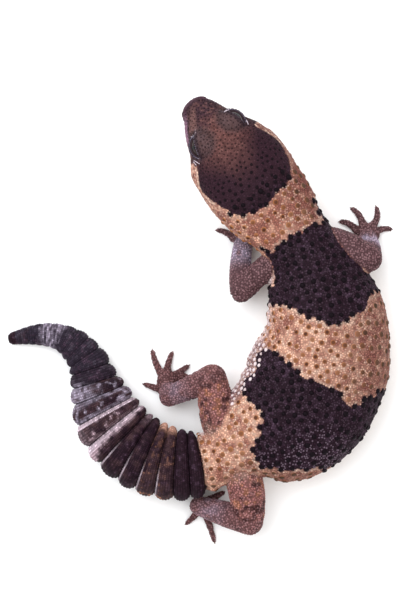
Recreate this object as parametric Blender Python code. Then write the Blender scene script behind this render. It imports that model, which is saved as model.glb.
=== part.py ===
"""An African fat-tailed gecko (Hemitheconyx caudicinctus), life size, resting in a C-shaped curve.

Lengths are in millimetres until a mesh is made, when MM turns them into metres. +Z is up, +Y runs
towards the snout's end of the curve, and the belly, the tail and the four feet stand on z = 0.
Distances along the animal, called s, start at the tip of the snout and follow the backbone.
"""

import math
import random

import bmesh
import bpy
import numpy as np
from mathutils import Matrix, Vector

MM = 0.001
GAP = 0.3  # clearance between two neighbouring solids
SLIVER = 0.003  # a face narrower than this is closed up
ORIGIN = (-0.23, -0.52)  # the middle of the footprint, in the coordinates of STATIONS

# The backbone from the snout to the tail: x, y, half width, top, widest level, underside
STATIONS = (
    (-1.6, 57.25, 4.3, 12.8, 8.9, 6.7),
    (-0.1, 55.5, 5.5, 14.4, 8.8, 6.1),
    (1.5, 53.3, 6.85, 16.0, 8.8, 5.7),
    (3.05, 51.1, 8.05, 17.2, 8.9, 5.4),
    (4.75, 48.95, 9.65, 18.1, 9.2, 5.2),
    (6.35, 46.8, 11.35, 18.7, 9.6, 5.1),
    (8.1, 44.3, 12.45, 19.2, 10.0, 5.0),
    (10.2, 41.7, 12.95, 19.5, 10.4, 5.0),
    (12.7, 38.1, 13.1, 19.5, 10.8, 5.1),
    (15.5, 34.2, 12.7, 19.1, 11.0, 5.3),
    (17.9, 31.5, 12.3, 18.6, 11.0, 5.4),
    (20.7, 28.4, 11.4, 18.0, 10.8, 5.3),
    (22.5, 25.9, 10.4, 17.6, 10.6, 5.1),
    (24.65, 23.2, 9.7, 17.5, 10.4, 4.7),
    (27.1, 19.5, 9.9, 17.9, 10.2, 4.1),
    (28.9, 16.0, 10.9, 18.6, 10.0, 3.4),
    (30.5, 10.8, 13.2, 19.6, 9.6, 2.2),
    (32.25, 5.45, 15.3, 20.5, 9.2, 1.0),
    (33.5, 0.2, 16.4, 21.1, 8.8, 0.1),
    (33.5, -5.2, 17.3, 21.5, 8.5, -0.4),
    (32.5, -10.6, 18.5, 21.7, 8.3, -0.7),
    (30.6, -15.6, 18.8, 21.6, 8.2, -0.7),
    (27.7, -21.1, 18.9, 21.2, 8.2, -0.6),
    (23.7, -25.4, 18.1, 20.6, 8.4, -0.3),
    (18.4, -28.8, 16.2, 19.6, 8.6, 0.3),
    (13.4, -31.2, 13.0, 18.4, 8.8, 1.0),
    (9.2, -33.8, 9.9, 17.2, 8.8, 1.6),
    (4.9, -36.4, 7.9, 15.9, 8.5, 2.0),
    (1.8, -37.9, 8.0, 15.2, 8.1, 1.6),
    (-0.3, -38.6, 8.9, 15.4, 8.0, 1.2),
    (-2.2, -38.95, 9.3, 15.7, 7.9, 0.8),
    (-5.4, -39.1, 9.7, 16.0, 7.8, 0.2),
    (-9.1, -38.6, 10.05, 16.2, 7.7, -0.1),
    (-12.6, -37.6, 10.25, 16.2, 7.6, -0.3),
    (-16.0, -36.0, 10.35, 16.0, 7.4, -0.5),
    (-19.5, -33.7, 10.25, 15.6, 7.2, -0.6),
    (-22.7, -30.3, 10.0, 15.0, 6.9, -0.6),
    (-25.4, -26.3, 9.6, 14.0, 6.4, -0.6),
    (-27.3, -21.9, 8.6, 12.5, 5.7, -0.5),
    (-28.8, -18.0, 7.4, 10.9, 5.0, -0.4),
    (-29.8, -14.8, 6.4, 9.7, 4.5, -0.4),
    (-31.1, -11.3, 5.7, 8.8, 4.1, -0.3),
    (-32.6, -9.1, 5.1, 7.9, 3.7, -0.3),
    (-34.6, -7.0, 4.7, 7.0, 3.3, -0.3),
    (-36.9, -5.4, 4.1, 6.0, 2.8, -0.2),
    (-39.7, -4.3, 3.55, 5.2, 2.5, -0.2),
    (-43.0, -3.85, 3.2, 4.6, 2.2, -0.2),
    (-47.0, -4.05, 2.65, 3.9, 1.8, -0.2),
    (-51.5, -4.85, 1.8, 2.9, 1.4, -0.1),
)
SNOUT_CAP = 2.7  # length of the rounded end of the snout
TAIL_CAP = 1.8  # length of the rounded end of the tail

# Where one length of the body ends and the next begins, as s
HEAD_END = 33.5
NECK_END = 51.0
CHEST_END = 76.5
BELLY_END = 104.0
VENT = 126.0
TAIL_BASE_END = 145.5
TAIL_MIDDLE_END = 166.6

# The grooves between the fat rings of the tail, as s, then between the fine rings near its tip
RING_GROOVES = (
    126.0, 129.5, 133.5, 137.5, 141.4, 145.5, 149.6, 153.8, 158.4, 162.9, 166.6, 170.3, 173.9,
    177.0, 180.0, 182.8, 185.4, 187.6, 189.8, 191.8, 193.6, 195.2,
)
RING_DEPTH = 1.1
RING_DEPTH_AT_TIP = 0.2
# How far a groove's outer end lies behind its middle, as much as its inner end lies ahead, at s
RING_LEAN = ((117.0, 0.0), (126.0, 0.7), (129.5, 0.15), (133.5, -0.75), (158.5, -0.75), (163.0, 0.0))
FINE_RINGS_FROM = 177.0

HEAD_ROLL = math.radians(5)  # the head is turned a little about its own length, left side up
ROLL_HEIGHT = 11.0
ROLL_FADES = (28.0, 50.0)

# Corners of the rounded cross sections: 2 is an ellipse, and more is squarer
ROUNDNESS_ABOVE = 2.25
ROUNDNESS_BELOW = 2.6

MOUTH_END = 21.5
MOUTH_DEPTH = 0.55
LIP_HEIGHT = 0.3
EYE_S = 12.2
EYE_SIDES = {-1: 5.15, 1: 4.7}  # from the midline to the left and the right eye's middle
EYE_HEIGHT = 14.0
EYE_RADIUS = 3.2
LID_THICKNESS = 0.5
LID_EDGE = 0.33  # radius of the thickened edge of each lid
LID_STEPS = 18  # points round the edge of one eye's opening
LID_CUT = (1.9, 4.35)  # the gap between the lids is cut from within the eyeball to just outside them
# How the lids stand open, in degrees round the eyeball: above the horizontal, half height, forwards
LID_OPENINGS = {"left": (27, 25, 24), "right": (33, 27, 14)}
LID_HALF_LENGTH = 62
EAR = (28.6, 12.6, 11.6)  # s, distance from the midline, height
EAR_RADII = (0.85, 1.7, 1.5)
NOSTRIL = (1.7, 2.75, 11.4)
NOSTRIL_RADIUS = 0.55

TRUNK_SIDES = 32
TAIL_SIDES = 20
TUBERCLE_HEIGHT = 0.55
TUBERCLE_INSET = 0.27  # share of a face left bare on each side of its tubercle
TUBERCLE_LOWEST = -8  # degrees round the side, where 0 is the widest level and 90 the midline
TUBERCLE_PITCH = 2.55  # distance between rows of points, which every second quad makes a tubercle of
TUBERCLE_CLEAR = 2.5  # bare skin round each limb's root

# Each limb: its joints from the body outwards, and the radius at each
LIMBS = {
    "fore_left": {
        "upper": (((23.3, 18.6, 10.0), 3.7), ((16.7, 13.5, 9.2), 3.45), ((10.7, 8.0, 7.6), 3.1)),
        "lower": (((10.7, 8.0, 7.6), 3.1), ((10.5, 14.0, 5.9), 2.85), ((11.1, 19.4, 3.8), 2.7)),
        "palm": ((11.0, 22.9, 1.9), (2.6, 2.9, 1.8)),
        "digits": (
            ((9.0, 21.9), (6.9, 24.1), (3.4, 24.8)),
            ((9.4, 24.4), (8.3, 26.9), (7.4, 29.6)),
            ((10.6, 25.0), (10.6, 27.6), (11.1, 30.6)),
            ((11.6, 24.2), (13.4, 26.0), (15.4, 27.9)),
            ((11.9, 22.7), (14.4, 22.8), (17.1, 22.4)),
        ),
    },
    "fore_right": {
        "upper": (((32.4, 21.5, 10.0), 4.5), ((38.6, 19.5, 10.6), 4.4), ((44.9, 16.75, 10.6), 3.7)),
        "lower": (((44.9, 16.75, 10.6), 3.7), ((45.4, 19.6, 7.2), 3.0), ((45.4, 22.2, 3.9), 2.6)),
        "palm": ((45.7, 23.8, 1.9), (3.1, 2.9, 1.8)),
        "digits": (
            ((43.0, 24.2), (40.4, 26.6), (37.4, 27.1)),
            ((44.4, 25.8), (43.1, 29.1), (40.6, 31.2)),
            ((46.4, 25.8), (48.2, 28.4), (47.7, 32.0)),
            ((47.3, 23.6), (49.5, 25.1), (52.8, 25.0)),
            ((46.6, 22.8), (48.0, 20.4), (48.0, 17.4)),
        ),
    },
    "hind_left": {
        "upper": (((6.4, -33.2, 9.2), 4.6), ((4.3, -24.3, 10.4), 4.95), ((2.8, -15.5, 10.6), 3.9)),
        "lower": (((2.8, -15.5, 10.6), 3.9), ((-3.1, -18.15, 7.6), 3.15), ((-8.9, -20.7, 4.4), 2.75)),
        "palm": ((-9.7, -16.8, 1.8), (2.6, 3.5, 1.9)),
        "digits": (
            ((-10.7, -19.4), (-13.1, -18.4), (-16.6, -17.3)),
            ((-10.8, -15.0), (-12.7, -11.6), (-13.7, -7.5)),
            ((-9.4, -14.4), (-9.1, -11.4), (-7.8, -8.2)),
            ((-8.2, -15.4), (-5.8, -13.9), (-3.1, -12.0)),
            ((-8.2, -16.8), (-6.0, -15.4), (-3.4, -15.4)),
        ),
    },
    "hind_right": {
        "upper": (((9.6, -36.6, 9.2), 4.6), ((12.0, -45.8, 10.2), 4.8), ((12.9, -53.9, 10.6), 3.75)),
        "lower": (((12.9, -53.9, 10.6), 3.75), ((6.3, -52.3, 7.6), 3.3), ((-0.8, -50.4, 4.6), 2.6)),
        "palm": ((0.9, -51.0, 1.8), (3.5, 2.6, 1.9)),
        "digits": (
            ((-0.9, -51.9), (-2.3, -54.0), (-4.9, -56.4)),
            ((0.9, -52.8), (2.3, -56.8), (3.7, -61.8)),
            ((2.4, -52.0), (5.2, -53.6), (8.2, -54.0)),
            ((2.8, -50.8), (5.6, -51.4), (8.3, -52.0)),
            ((1.8, -49.4), (4.2, -48.2), (6.5, -47.0)),
        ),
    },
}
LIMB_SIDES = 13
LIMB_SHARES = (0.0, 0.25, 0.5, 0.75, 1.0)  # where a limb's length has its rings
BALL_ANGLES = (65, 38, 16)  # and its rounded ends, in degrees
TUBE_BULGE = 0.12  # how far a tube's end stands out, as a share of its last radius
DIGIT_SIDES = 6
# The digits' radius at shares of their length, ending in the claw
DIGIT_PROFILE = (
    (0.0, 1.15), (0.35, 1.12), (0.65, 0.88), (0.82, 0.7), (0.91, 0.54), (0.95, 0.28), (1.0, 0.1),
)
DIGIT_SINK = 0.2  # how much of a digit's roundness the flat of its underside takes off
CLAW_HEIGHT = 0.25  # level of a claw's middle

COLOURS = {
    "head": (0.10, 0.055, 0.05),
    "neck": (0.56, 0.38, 0.27),
    "chest": (0.07, 0.05, 0.055),
    "belly": (0.58, 0.40, 0.29),
    "hips": (0.50, 0.34, 0.22),
    "tail": (0.09, 0.07, 0.075),
    "limb": (0.22, 0.12, 0.11),
    "eye": (0.02, 0.015, 0.015),
}


def chord_lengths():
    """s of each station, with the snout's rounded end before the first."""
    points = np.array(STATIONS)[:, :2]
    steps = np.linalg.norm(np.diff(points, axis=0), axis=1)
    return SNOUT_CAP + np.concatenate([[0.0], np.cumsum(steps)])


STATION_S = chord_lengths()
STATION_VALUES = np.array(STATIONS, float)
STATION_SLOPES = np.gradient(STATION_VALUES, STATION_S, axis=0)
LENGTH = float(STATION_S[-1]) + TAIL_CAP


def smoothstep(low, high, value):
    share = min(1.0, max(0.0, (value - low) / (high - low)))
    return share * share * (3 - 2 * share)


def station(s):
    """The values of STATIONS at s, and their slopes, on a smooth curve through the stations."""
    s = min(max(s, STATION_S[0]), STATION_S[-1])
    i = min(int(np.searchsorted(STATION_S, s, side="right")) - 1, len(STATION_S) - 2)
    step = STATION_S[i + 1] - STATION_S[i]
    t = (s - STATION_S[i]) / step
    a, b = STATION_VALUES[i], STATION_VALUES[i + 1]
    ma, mb = STATION_SLOPES[i] * step, STATION_SLOPES[i + 1] * step
    value = (
        (2 * t**3 - 3 * t**2 + 1) * a
        + (t**3 - 2 * t**2 + t) * ma
        + (3 * t**2 - 2 * t**3) * b
        + (t**3 - t**2) * mb
    )
    slope = (6 * t**2 - 6 * t) * (a - b) + (3 * t**2 - 4 * t + 1) * ma + (3 * t**2 - 2 * t) * mb
    return value, slope / step


def cap_share(s):
    """How far the rounded ends of the snout and the tail have opened, from 0 at the tip to 1."""
    before = (STATION_S[0] - s) / SNOUT_CAP
    after = (s - STATION_S[-1]) / TAIL_CAP
    closed = min(1.0, max(0.0, before, after))
    return math.sqrt(1 - closed * closed)


def ring_notch(s):
    """Depth of the groove between two tail rings at s: full in a groove, 0 on a crest."""
    if not RING_GROOVES[0] < s < RING_GROOVES[-1]:
        return RING_DEPTH * smoothstep(VENT - 2.5, VENT, s) if s <= VENT else 0.0
    i = int(np.searchsorted(RING_GROOVES, s, side="right")) - 1
    t = (s - RING_GROOVES[i]) / (RING_GROOVES[i + 1] - RING_GROOVES[i])
    depth = RING_DEPTH + (RING_DEPTH_AT_TIP - RING_DEPTH) * smoothstep(160, 186, s)
    return depth * abs(2 * t - 1) ** 3


def place(s, side, height):
    """A point beside the backbone: side is positive to the animal's right, height is above the floor."""
    value, slope = station(s)
    along = Vector((slope[0], slope[1], 0)).normalized()
    right = Vector((-along.y, along.x, 0))
    beyond = s - min(max(s, STATION_S[0]), STATION_S[-1])
    roll = HEAD_ROLL * (1 - smoothstep(*ROLL_FADES, s))
    up = height - ROLL_HEIGHT
    across = side * math.cos(roll) + up * math.sin(roll)
    lift = ROLL_HEIGHT + up * math.cos(roll) - side * math.sin(roll)
    centre = Vector((value[0] - ORIGIN[0], value[1] - ORIGIN[1], 0))
    return centre + along * beyond + right * across + Vector((0, 0, lift))


def outline_point(s, angle, grow=0.0):
    """The skin at s, angle degrees round from the right side over the back, grow outside its true place."""
    c, d = math.cos(math.radians(angle)), math.sin(math.radians(angle))
    power = 2 / (ROUNDNESS_ABOVE if d >= 0 else ROUNDNESS_BELOW)
    side_share, height_share = math.copysign(abs(c) ** power, c), math.copysign(abs(d) ** power, d)
    notch = ring_notch(s)
    s += side_share * float(np.interp(s, *zip(*RING_LEAN)))
    value, _ = station(s)
    width, top, middle, under = value[2:]
    open_share = cap_share(s)
    rise = top - middle if d >= 0 else middle - under
    side = ((width - notch) * open_share + grow) * side_share
    height = ((rise - notch) * open_share + grow) * height_share
    return place(s, side, middle + height)


def outline_normal(s, angle):
    """Outward direction of the skin."""
    step = 0.05
    around = outline_point(s, angle + 1) - outline_point(s, angle - 1)
    along = outline_point(s + step, angle) - outline_point(s - step, angle)
    return around.cross(along).normalized()


def even_steps(start, end, pitch):
    """Values from start to end, about pitch apart."""
    count = max(1, round((end - start) / pitch))
    return [start + (end - start) * i / count for i in range(count + 1)]


def new_object(name, bm, colour_name=None):
    """Turns a bmesh in millimetres into an object in metres with its own material."""
    bmesh.ops.recalc_face_normals(bm, faces=bm.faces)
    bmesh.ops.scale(bm, vec=(MM, MM, MM), verts=bm.verts)
    mesh = bpy.data.meshes.new(name)
    bm.to_mesh(mesh)
    bm.free()
    obj = bpy.data.objects.new(name, mesh)
    bpy.context.scene.collection.objects.link(obj)
    if colour_name:
        mesh.materials.append(skin_material(name, COLOURS[colour_name]))
    return obj


def skin_material(name, colour):
    material = bpy.data.materials.new(name)
    material.use_nodes = True
    shader = material.node_tree.nodes["Principled BSDF"]
    shader.inputs["Base Color"].default_value = (*colour, 1)
    shader.inputs["Roughness"].default_value = 0.25 if name.startswith("eye") else 0.6
    shader.inputs["Metallic"].default_value = 0.0
    return material


def loft(rings, tip_before=None, tip_after=None):
    """A closed skin through rings of points, each end shut by a tip or by a face of upright strips.

    Returns the bmesh and its quads as {(row, column): face}."""
    bm = bmesh.new()
    rows = [[bm.verts.new(p) for p in ring] for ring in rings]
    count = len(rows[0])
    quads = {}
    for i, (first, second) in enumerate(zip(rows, rows[1:])):
        for j in range(count):
            k = (j + 1) % count
            quads[i, j] = bm.faces.new((first[j], first[k], second[k], second[j]))
    for tip, row in ((tip_before, rows[0]), (tip_after, rows[-1])):
        if tip is None:
            for j in range(count // 2):
                strip = dict.fromkeys((row[-j], row[j], row[j + 1], row[-j - 1]))
                bm.faces.new(tuple(strip))
            continue
        end = bm.verts.new(tip)
        for j in range(count):
            bm.faces.new((end, row[j], row[(j + 1) % count]))
    return bm, quads


def rest_on_floor(bm):
    """Flattens whatever would reach below the floor onto it."""
    for vert in bm.verts:
        vert.co.z = max(vert.co.z, 0.0)


def along_curve(points, t):
    """The point at share t of a curve through three points, the middle one half way."""
    first, middle, last = points
    return first * (1 - t) * (1 - 2 * t) + middle * 4 * t * (1 - t) + last * t * (2 * t - 1)


def tube(path, radii, sides):
    """A round tube with closed, rounded ends along path."""
    points = [Vector(p) for p in path]
    tangents = []
    for i in range(len(points)):
        ahead = points[min(i + 1, len(points) - 1)]
        behind = points[max(i - 1, 0)]
        tangents.append((ahead - behind).normalized())
    side = tangents[0].cross(Vector((0, 0, 1)))
    if side.length < 0.2:
        side = tangents[0].cross(Vector((0, 1, 0)))
    side.normalize()
    rings = []
    for point, tangent, radius in zip(points, tangents, radii):
        side = (side - tangent * side.dot(tangent)).normalized()
        up = side.cross(tangent)
        turns = [2 * math.pi * (j + 0.5) / sides for j in range(sides)]
        rings.append([point + (side * math.cos(a) + up * math.sin(a)) * radius for a in turns])
    bm, _ = loft(
        rings,
        points[0] - tangents[0] * radii[0] * TUBE_BULGE,
        points[-1] + tangents[-1] * radii[-1] * TUBE_BULGE,
    )
    return bm


def limb_tube(joints, sides, grow=0.0):
    """A limb's length with ball ends: a smooth path through its joints, each a point and a radius."""
    points = [Vector(p) for p, _ in joints]
    radii = [r + grow for _, r in joints]
    path = [along_curve(points, t) for t in LIMB_SHARES]
    widths = [along_curve(radii, t) for t in LIMB_SHARES]
    start = (path[0] - path[1]).normalized() * widths[0]
    end = (path[-1] - path[-2]).normalized() * widths[-1]
    ball = [math.radians(angle) for angle in BALL_ANGLES]
    head = [(path[0] + start * math.sin(a), widths[0] * math.cos(a)) for a in ball]
    foot = [(path[-1] + end * math.sin(a), widths[-1] * math.cos(a)) for a in reversed(ball)]
    chain = head + list(zip(path, widths)) + foot
    return tube([p for p, _ in chain], [r for _, r in chain], sides)


def ellipsoid(centre, radii, axes=None, segments=12, rings=8):
    """A rounded lump. axes turns it, as a 3 by 3 matrix whose columns are its own directions."""
    bm = bmesh.new()
    turn = (axes or Matrix.Identity(3)).to_4x4()
    matrix = Matrix.Translation(Vector(centre)) @ turn @ Matrix.Diagonal((*radii, 1))
    bmesh.ops.create_uvsphere(bm, u_segments=segments, v_segments=rings, radius=1, matrix=matrix)
    return bm


def combine(obj, bmeshes, operation):
    """Joins closed pieces to obj, or takes them out of it, in one Boolean, and applies it."""
    collection = bpy.data.collections.new("pieces")
    pieces = []
    for i, bm in enumerate(bmeshes):
        piece = new_object(f"piece_{i}", bm)
        bpy.context.scene.collection.objects.unlink(piece)
        collection.objects.link(piece)
        pieces.append(piece)
    modifier = obj.modifiers.new("combine", "BOOLEAN")
    modifier.operation = operation
    modifier.operand_type = "COLLECTION"
    modifier.collection = collection
    bpy.context.view_layer.update()
    graph = bpy.context.evaluated_depsgraph_get()
    mesh = bpy.data.meshes.new_from_object(obj.evaluated_get(graph))
    obj.modifiers.clear()
    obj.data = mesh
    for piece in pieces:
        bpy.data.objects.remove(piece)
    bpy.data.collections.remove(collection)
    keep_largest(obj)


def keep_largest(obj):
    """Keeps the largest closed surface of obj and drops slivers, loose scraps and sealed hollows."""
    bm = bmesh.new()
    bm.from_mesh(obj.data)
    bmesh.ops.dissolve_degenerate(bm, dist=SLIVER * MM, edges=bm.edges)
    unseen = set(bm.faces)
    shells = []
    while unseen:
        shell, queue = [], [unseen.pop()]
        while queue:
            face = queue.pop()
            shell.append(face)
            for edge in face.edges:
                for other in edge.link_faces:
                    if other in unseen:
                        unseen.remove(other)
                        queue.append(other)
        shells.append(shell)
    if len(shells) > 1:
        largest = max(shells, key=lambda shell: sum(face.calc_area() for face in shell))
        scraps = [face for shell in shells if shell is not largest for face in shell]
        bmesh.ops.delete(bm, geom=scraps, context="FACES")
    bm.to_mesh(obj.data)
    bm.free()


def cut_at_floor(obj):
    """Slices off what would be below the floor and closes the cut with a flat."""
    bm = bmesh.new()
    bm.from_mesh(obj.data)
    everything = bm.verts[:] + bm.edges[:] + bm.faces[:]
    bmesh.ops.bisect_plane(bm, geom=everything, plane_co=(0, 0, 0), plane_no=(0, 0, 1), clear_inner=True)
    rim = [edge for edge in bm.edges if edge.is_boundary]
    bmesh.ops.holes_fill(bm, edges=rim)
    bm.to_mesh(obj.data)
    bm.free()


def limb_distance(point):
    """How far a point is outside the nearest upper arm or thigh."""
    nearest = 1e9
    for limb in LIMBS.values():
        joints = limb["upper"]
        for (a, ra), (b, rb) in zip(joints, joints[1:]):
            a, b = Vector(a), Vector(b)
            t = min(1.0, max(0.0, (point - a).dot(b - a) / (b - a).length_squared))
            nearest = min(nearest, (point - a.lerp(b, t)).length - ra - (rb - ra) * t)
    return nearest


def add_tubercles(bm, quads, angles, draw):
    """Raises a low pointed scale on every second quad of the back and flanks."""
    chosen = []
    for (row, column), face in quads.items():
        angle = angles[column]
        middle = (angle + 90) % 360 - 90
        inside = TUBERCLE_LOWEST < middle < 180 - TUBERCLE_LOWEST
        if (row + column) % 2 or not inside:
            continue
        if limb_distance(face.calc_center_median()) < TUBERCLE_CLEAR:
            continue
        chosen.append(face)
    for face in chosen:
        inset = min(edge.calc_length() for edge in face.edges) * TUBERCLE_INSET
        bmesh.ops.inset_individual(bm, faces=[face], thickness=inset * draw.uniform(0.9, 1.1))
        height = TUBERCLE_HEIGHT * draw.uniform(0.8, 1.1)
        bmesh.ops.poke(bm, faces=[face], offset=height)


def trunk_node(name, start, end, draw):
    """One length of neck or body, from flat face to flat face, with its tubercles."""
    rows = even_steps(start + GAP / 2, end - GAP / 2, TUBERCLE_PITCH)
    step = 360 / TRUNK_SIDES
    angles = [step * j for j in range(TRUNK_SIDES)]
    rings = [[outline_point(s, a) for a in angles] for s in rows]
    bm, quads = loft(rings)
    add_tubercles(bm, quads, [a + step / 2 for a in angles], draw)
    rest_on_floor(bm)
    return new_object(name, bm, name)


def ring_rows(start, end):
    """Where the tail's rows of points go: at each groove, its shoulders and the crest between."""
    rows = []
    for a, b in zip(RING_GROOVES, RING_GROOVES[1:]):
        if not (start - 0.01 <= a and b <= end + 0.01):
            continue
        shares = (0, 0.5) if a > FINE_RINGS_FROM else (0, 0.16, 0.5, 0.84)
        rows += [a + (b - a) * share for share in shares]
    return rows


def tail_node(name, start, end):
    """One length of the ringed tail. The last one ends in the rounded tip."""
    last = end >= LENGTH
    rows = ring_rows(start, end)
    rows[0] += GAP / 2
    if last:
        rows += [RING_GROOVES[-1], STATION_S[-1] + TAIL_CAP * 0.45, STATION_S[-1] + TAIL_CAP * 0.85]
    else:
        rows.append(end - GAP / 2)
    angles = [360 * j / TAIL_SIDES for j in range(TAIL_SIDES)]
    rings = [[outline_point(s, a) for a in angles] for s in rows]
    middle = station(LENGTH)[0][4]
    bm, _ = loft(rings, tip_after=place(LENGTH, 0, middle) if last else None)
    rest_on_floor(bm)
    return new_object(name, bm, "tail")


def mouth_relief(s, angle):
    """The groove of the closed mouth and the lips above and below it, as a height off the skin."""
    near = min(abs(angle), abs(180 - angle), abs(360 - angle))
    fade = 1 - smoothstep(MOUTH_END - 4, MOUTH_END, s)
    groove = -MOUTH_DEPTH if near < 1 else 0.0
    lip = LIP_HEIGHT if 5 < near < 20 else 0.0
    return (groove + lip) * fade


def head_angles():
    """Directions round the head, close together at the mouth."""
    above = [0, 3, 9, 18, 29, 41, 54, 66, 78, 90]
    above += [180 - a for a in reversed(above[:-1])]
    below = [183, 190, 204, 222, 245, 270]
    below += [540 - a for a in reversed(below[:-1])]
    return above + below


def head_axes(s):
    """The head's own directions at s: backwards, to its right, and up."""
    origin = place(s, 0, ROLL_HEIGHT)
    right = (place(s, 1, ROLL_HEIGHT) - origin).normalized()
    up = (place(s, 0, ROLL_HEIGHT + 1) - origin).normalized()
    return right.cross(up), right, up


def eye_centre(sign):
    return place(EYE_S, sign * EYE_SIDES[sign], EYE_HEIGHT)


def lid_direction(sign, elevation, ahead, turn, height):
    """A direction out of the eyeball: turn degrees round from its outlook, height degrees above it."""
    back, right, up = head_axes(EYE_S)
    forwards = math.radians(ahead)
    outward = right * sign * math.cos(forwards) - back * math.sin(forwards)
    back = back * math.cos(forwards) + right * sign * math.sin(forwards)
    tilt = math.radians(elevation)
    look = outward * math.cos(tilt) + up * math.sin(tilt)
    across = up * math.cos(tilt) - outward * math.sin(tilt)
    t, h = math.radians(turn), math.radians(height)
    level = look * math.cos(h) + across * math.sin(h)
    return (level * math.cos(t) + back * math.sin(t)).normalized()


def lid_edge(name, sign):
    """The thick rim of the two lids of one eye, and the almond-shaped cutter of the gap between them."""
    elevation, half_height, ahead = LID_OPENINGS[name]
    centre = eye_centre(sign)
    turns = [2 * math.pi * i / LID_STEPS for i in range(LID_STEPS)]
    places = [(LID_HALF_LENGTH * math.cos(a), half_height * math.sin(a)) for a in turns]
    rim = [lid_direction(sign, elevation, ahead, *place_on_lid) for place_on_lid in places]
    radius = EYE_RADIUS + GAP + LID_THICKNESS
    sides = 6
    bm = bmesh.new()
    rows = []
    for i, direction in enumerate(rim):
        along = (rim[(i + 1) % LID_STEPS] - rim[i - 1]).normalized()
        across = direction.cross(along).normalized()
        point = centre + direction * radius
        turn = [2 * math.pi * j / sides for j in range(sides)]
        circle = [direction * math.cos(a) + across * math.sin(a) for a in turn]
        rows.append([bm.verts.new(point + offset * LID_EDGE) for offset in circle])
    for i in range(LID_STEPS):
        first, second = rows[i], rows[(i + 1) % LID_STEPS]
        for j in range(sides):
            k = (j + 1) % sides
            bm.faces.new((first[j], first[k], second[k], second[j]))
    gap = bmesh.new()
    inner, outer = ([gap.verts.new(centre + d * reach) for d in rim] for reach in LID_CUT)
    look = lid_direction(sign, elevation, ahead, 0, 0)
    near, far = (gap.verts.new(centre + look * reach) for reach in LID_CUT)
    for i in range(LID_STEPS):
        k = (i + 1) % LID_STEPS
        gap.faces.new((inner[i], inner[k], outer[k], outer[i]))
        gap.faces.new((near, inner[k], inner[i]))
        gap.faces.new((far, outer[i], outer[k]))
    return bm, gap


def head_node():
    """The head: snout, lips and mouth line, nostrils, orbits with their lids, and ear cups."""
    rows = [0.15, 0.6, 1.2, 1.9, 2.7] + even_steps(3.7, HEAD_END - GAP / 2, 1.35)
    angles = head_angles()
    rings = [
        [outline_point(s, a) + outline_normal(s, a) * mouth_relief(s, a) for a in angles] for s in rows
    ]
    tip = place(MOUTH_DEPTH, 0, station(0)[0][4])
    bm, _ = loft(rings, tip_before=tip)
    head = new_object("head", bm, "head")
    back, right, up = head_axes(EYE_S)
    axes = Matrix((back, right, up)).transposed()
    lumps, hollows = [], []
    for name, sign in (("left", -1), ("right", 1)):
        centre = eye_centre(sign)
        lid = EYE_RADIUS + GAP + LID_THICKNESS
        lumps.append(ellipsoid(centre, (lid * 1.06, lid, lid), axes, 16, 10))
        rim, gap = lid_edge(name, sign)
        lumps.append(rim)
        hollows.append(ellipsoid(centre, [EYE_RADIUS + GAP] * 3, axes, 16, 10))
        hollows.append(gap)
        ear_s, ear_side, ear_height = EAR
        hollows.append(ellipsoid(place(ear_s, sign * ear_side, ear_height), EAR_RADII, axes, 10, 6))
        nose_s, nose_side, nose_height = NOSTRIL
        nose = place(nose_s, sign * nose_side, nose_height)
        hollows.append(ellipsoid(nose, [NOSTRIL_RADIUS] * 3, axes, 8, 6))
    combine(head, lumps, "UNION")
    combine(head, hollows, "DIFFERENCE")
    return head


def eye_node(name, sign):
    back, right, up = head_axes(EYE_S)
    axes = Matrix((back, up, right)).transposed()
    bm = ellipsoid(eye_centre(sign), [EYE_RADIUS] * 3, axes, 16, 10)
    return new_object(name, bm, "eye")


def grown_trunk():
    """The neck, body and tail base, GAP larger all round, which the limbs are cut clear of."""
    rows = even_steps(HEAD_END, VENT, TUBERCLE_PITCH) + ring_rows(VENT, TAIL_BASE_END)[1:]
    angles = [360 * j / TRUNK_SIDES for j in range(TRUNK_SIDES)]
    bm, _ = loft([[outline_point(s, a, GAP) for a in angles] for s in rows])
    return bm


def shifted(point):
    return Vector((point[0] - ORIGIN[0], point[1] - ORIGIN[1], point[2]))


def digit(root, middle, tip):
    """One digit flat on the floor, ending in a small claw."""
    root, middle, tip = (Vector((x - ORIGIN[0], y - ORIGIN[1])) for x, y in (root, middle, tip))
    path, radii = [], []
    for t, radius in DIGIT_PROFILE:
        spot = along_curve((root, middle, tip), t)
        path.append((spot.x, spot.y, max(radius - DIGIT_SINK, CLAW_HEIGHT)))
        radii.append(radius)
    return tube(path, radii, DIGIT_SIDES)


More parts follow.
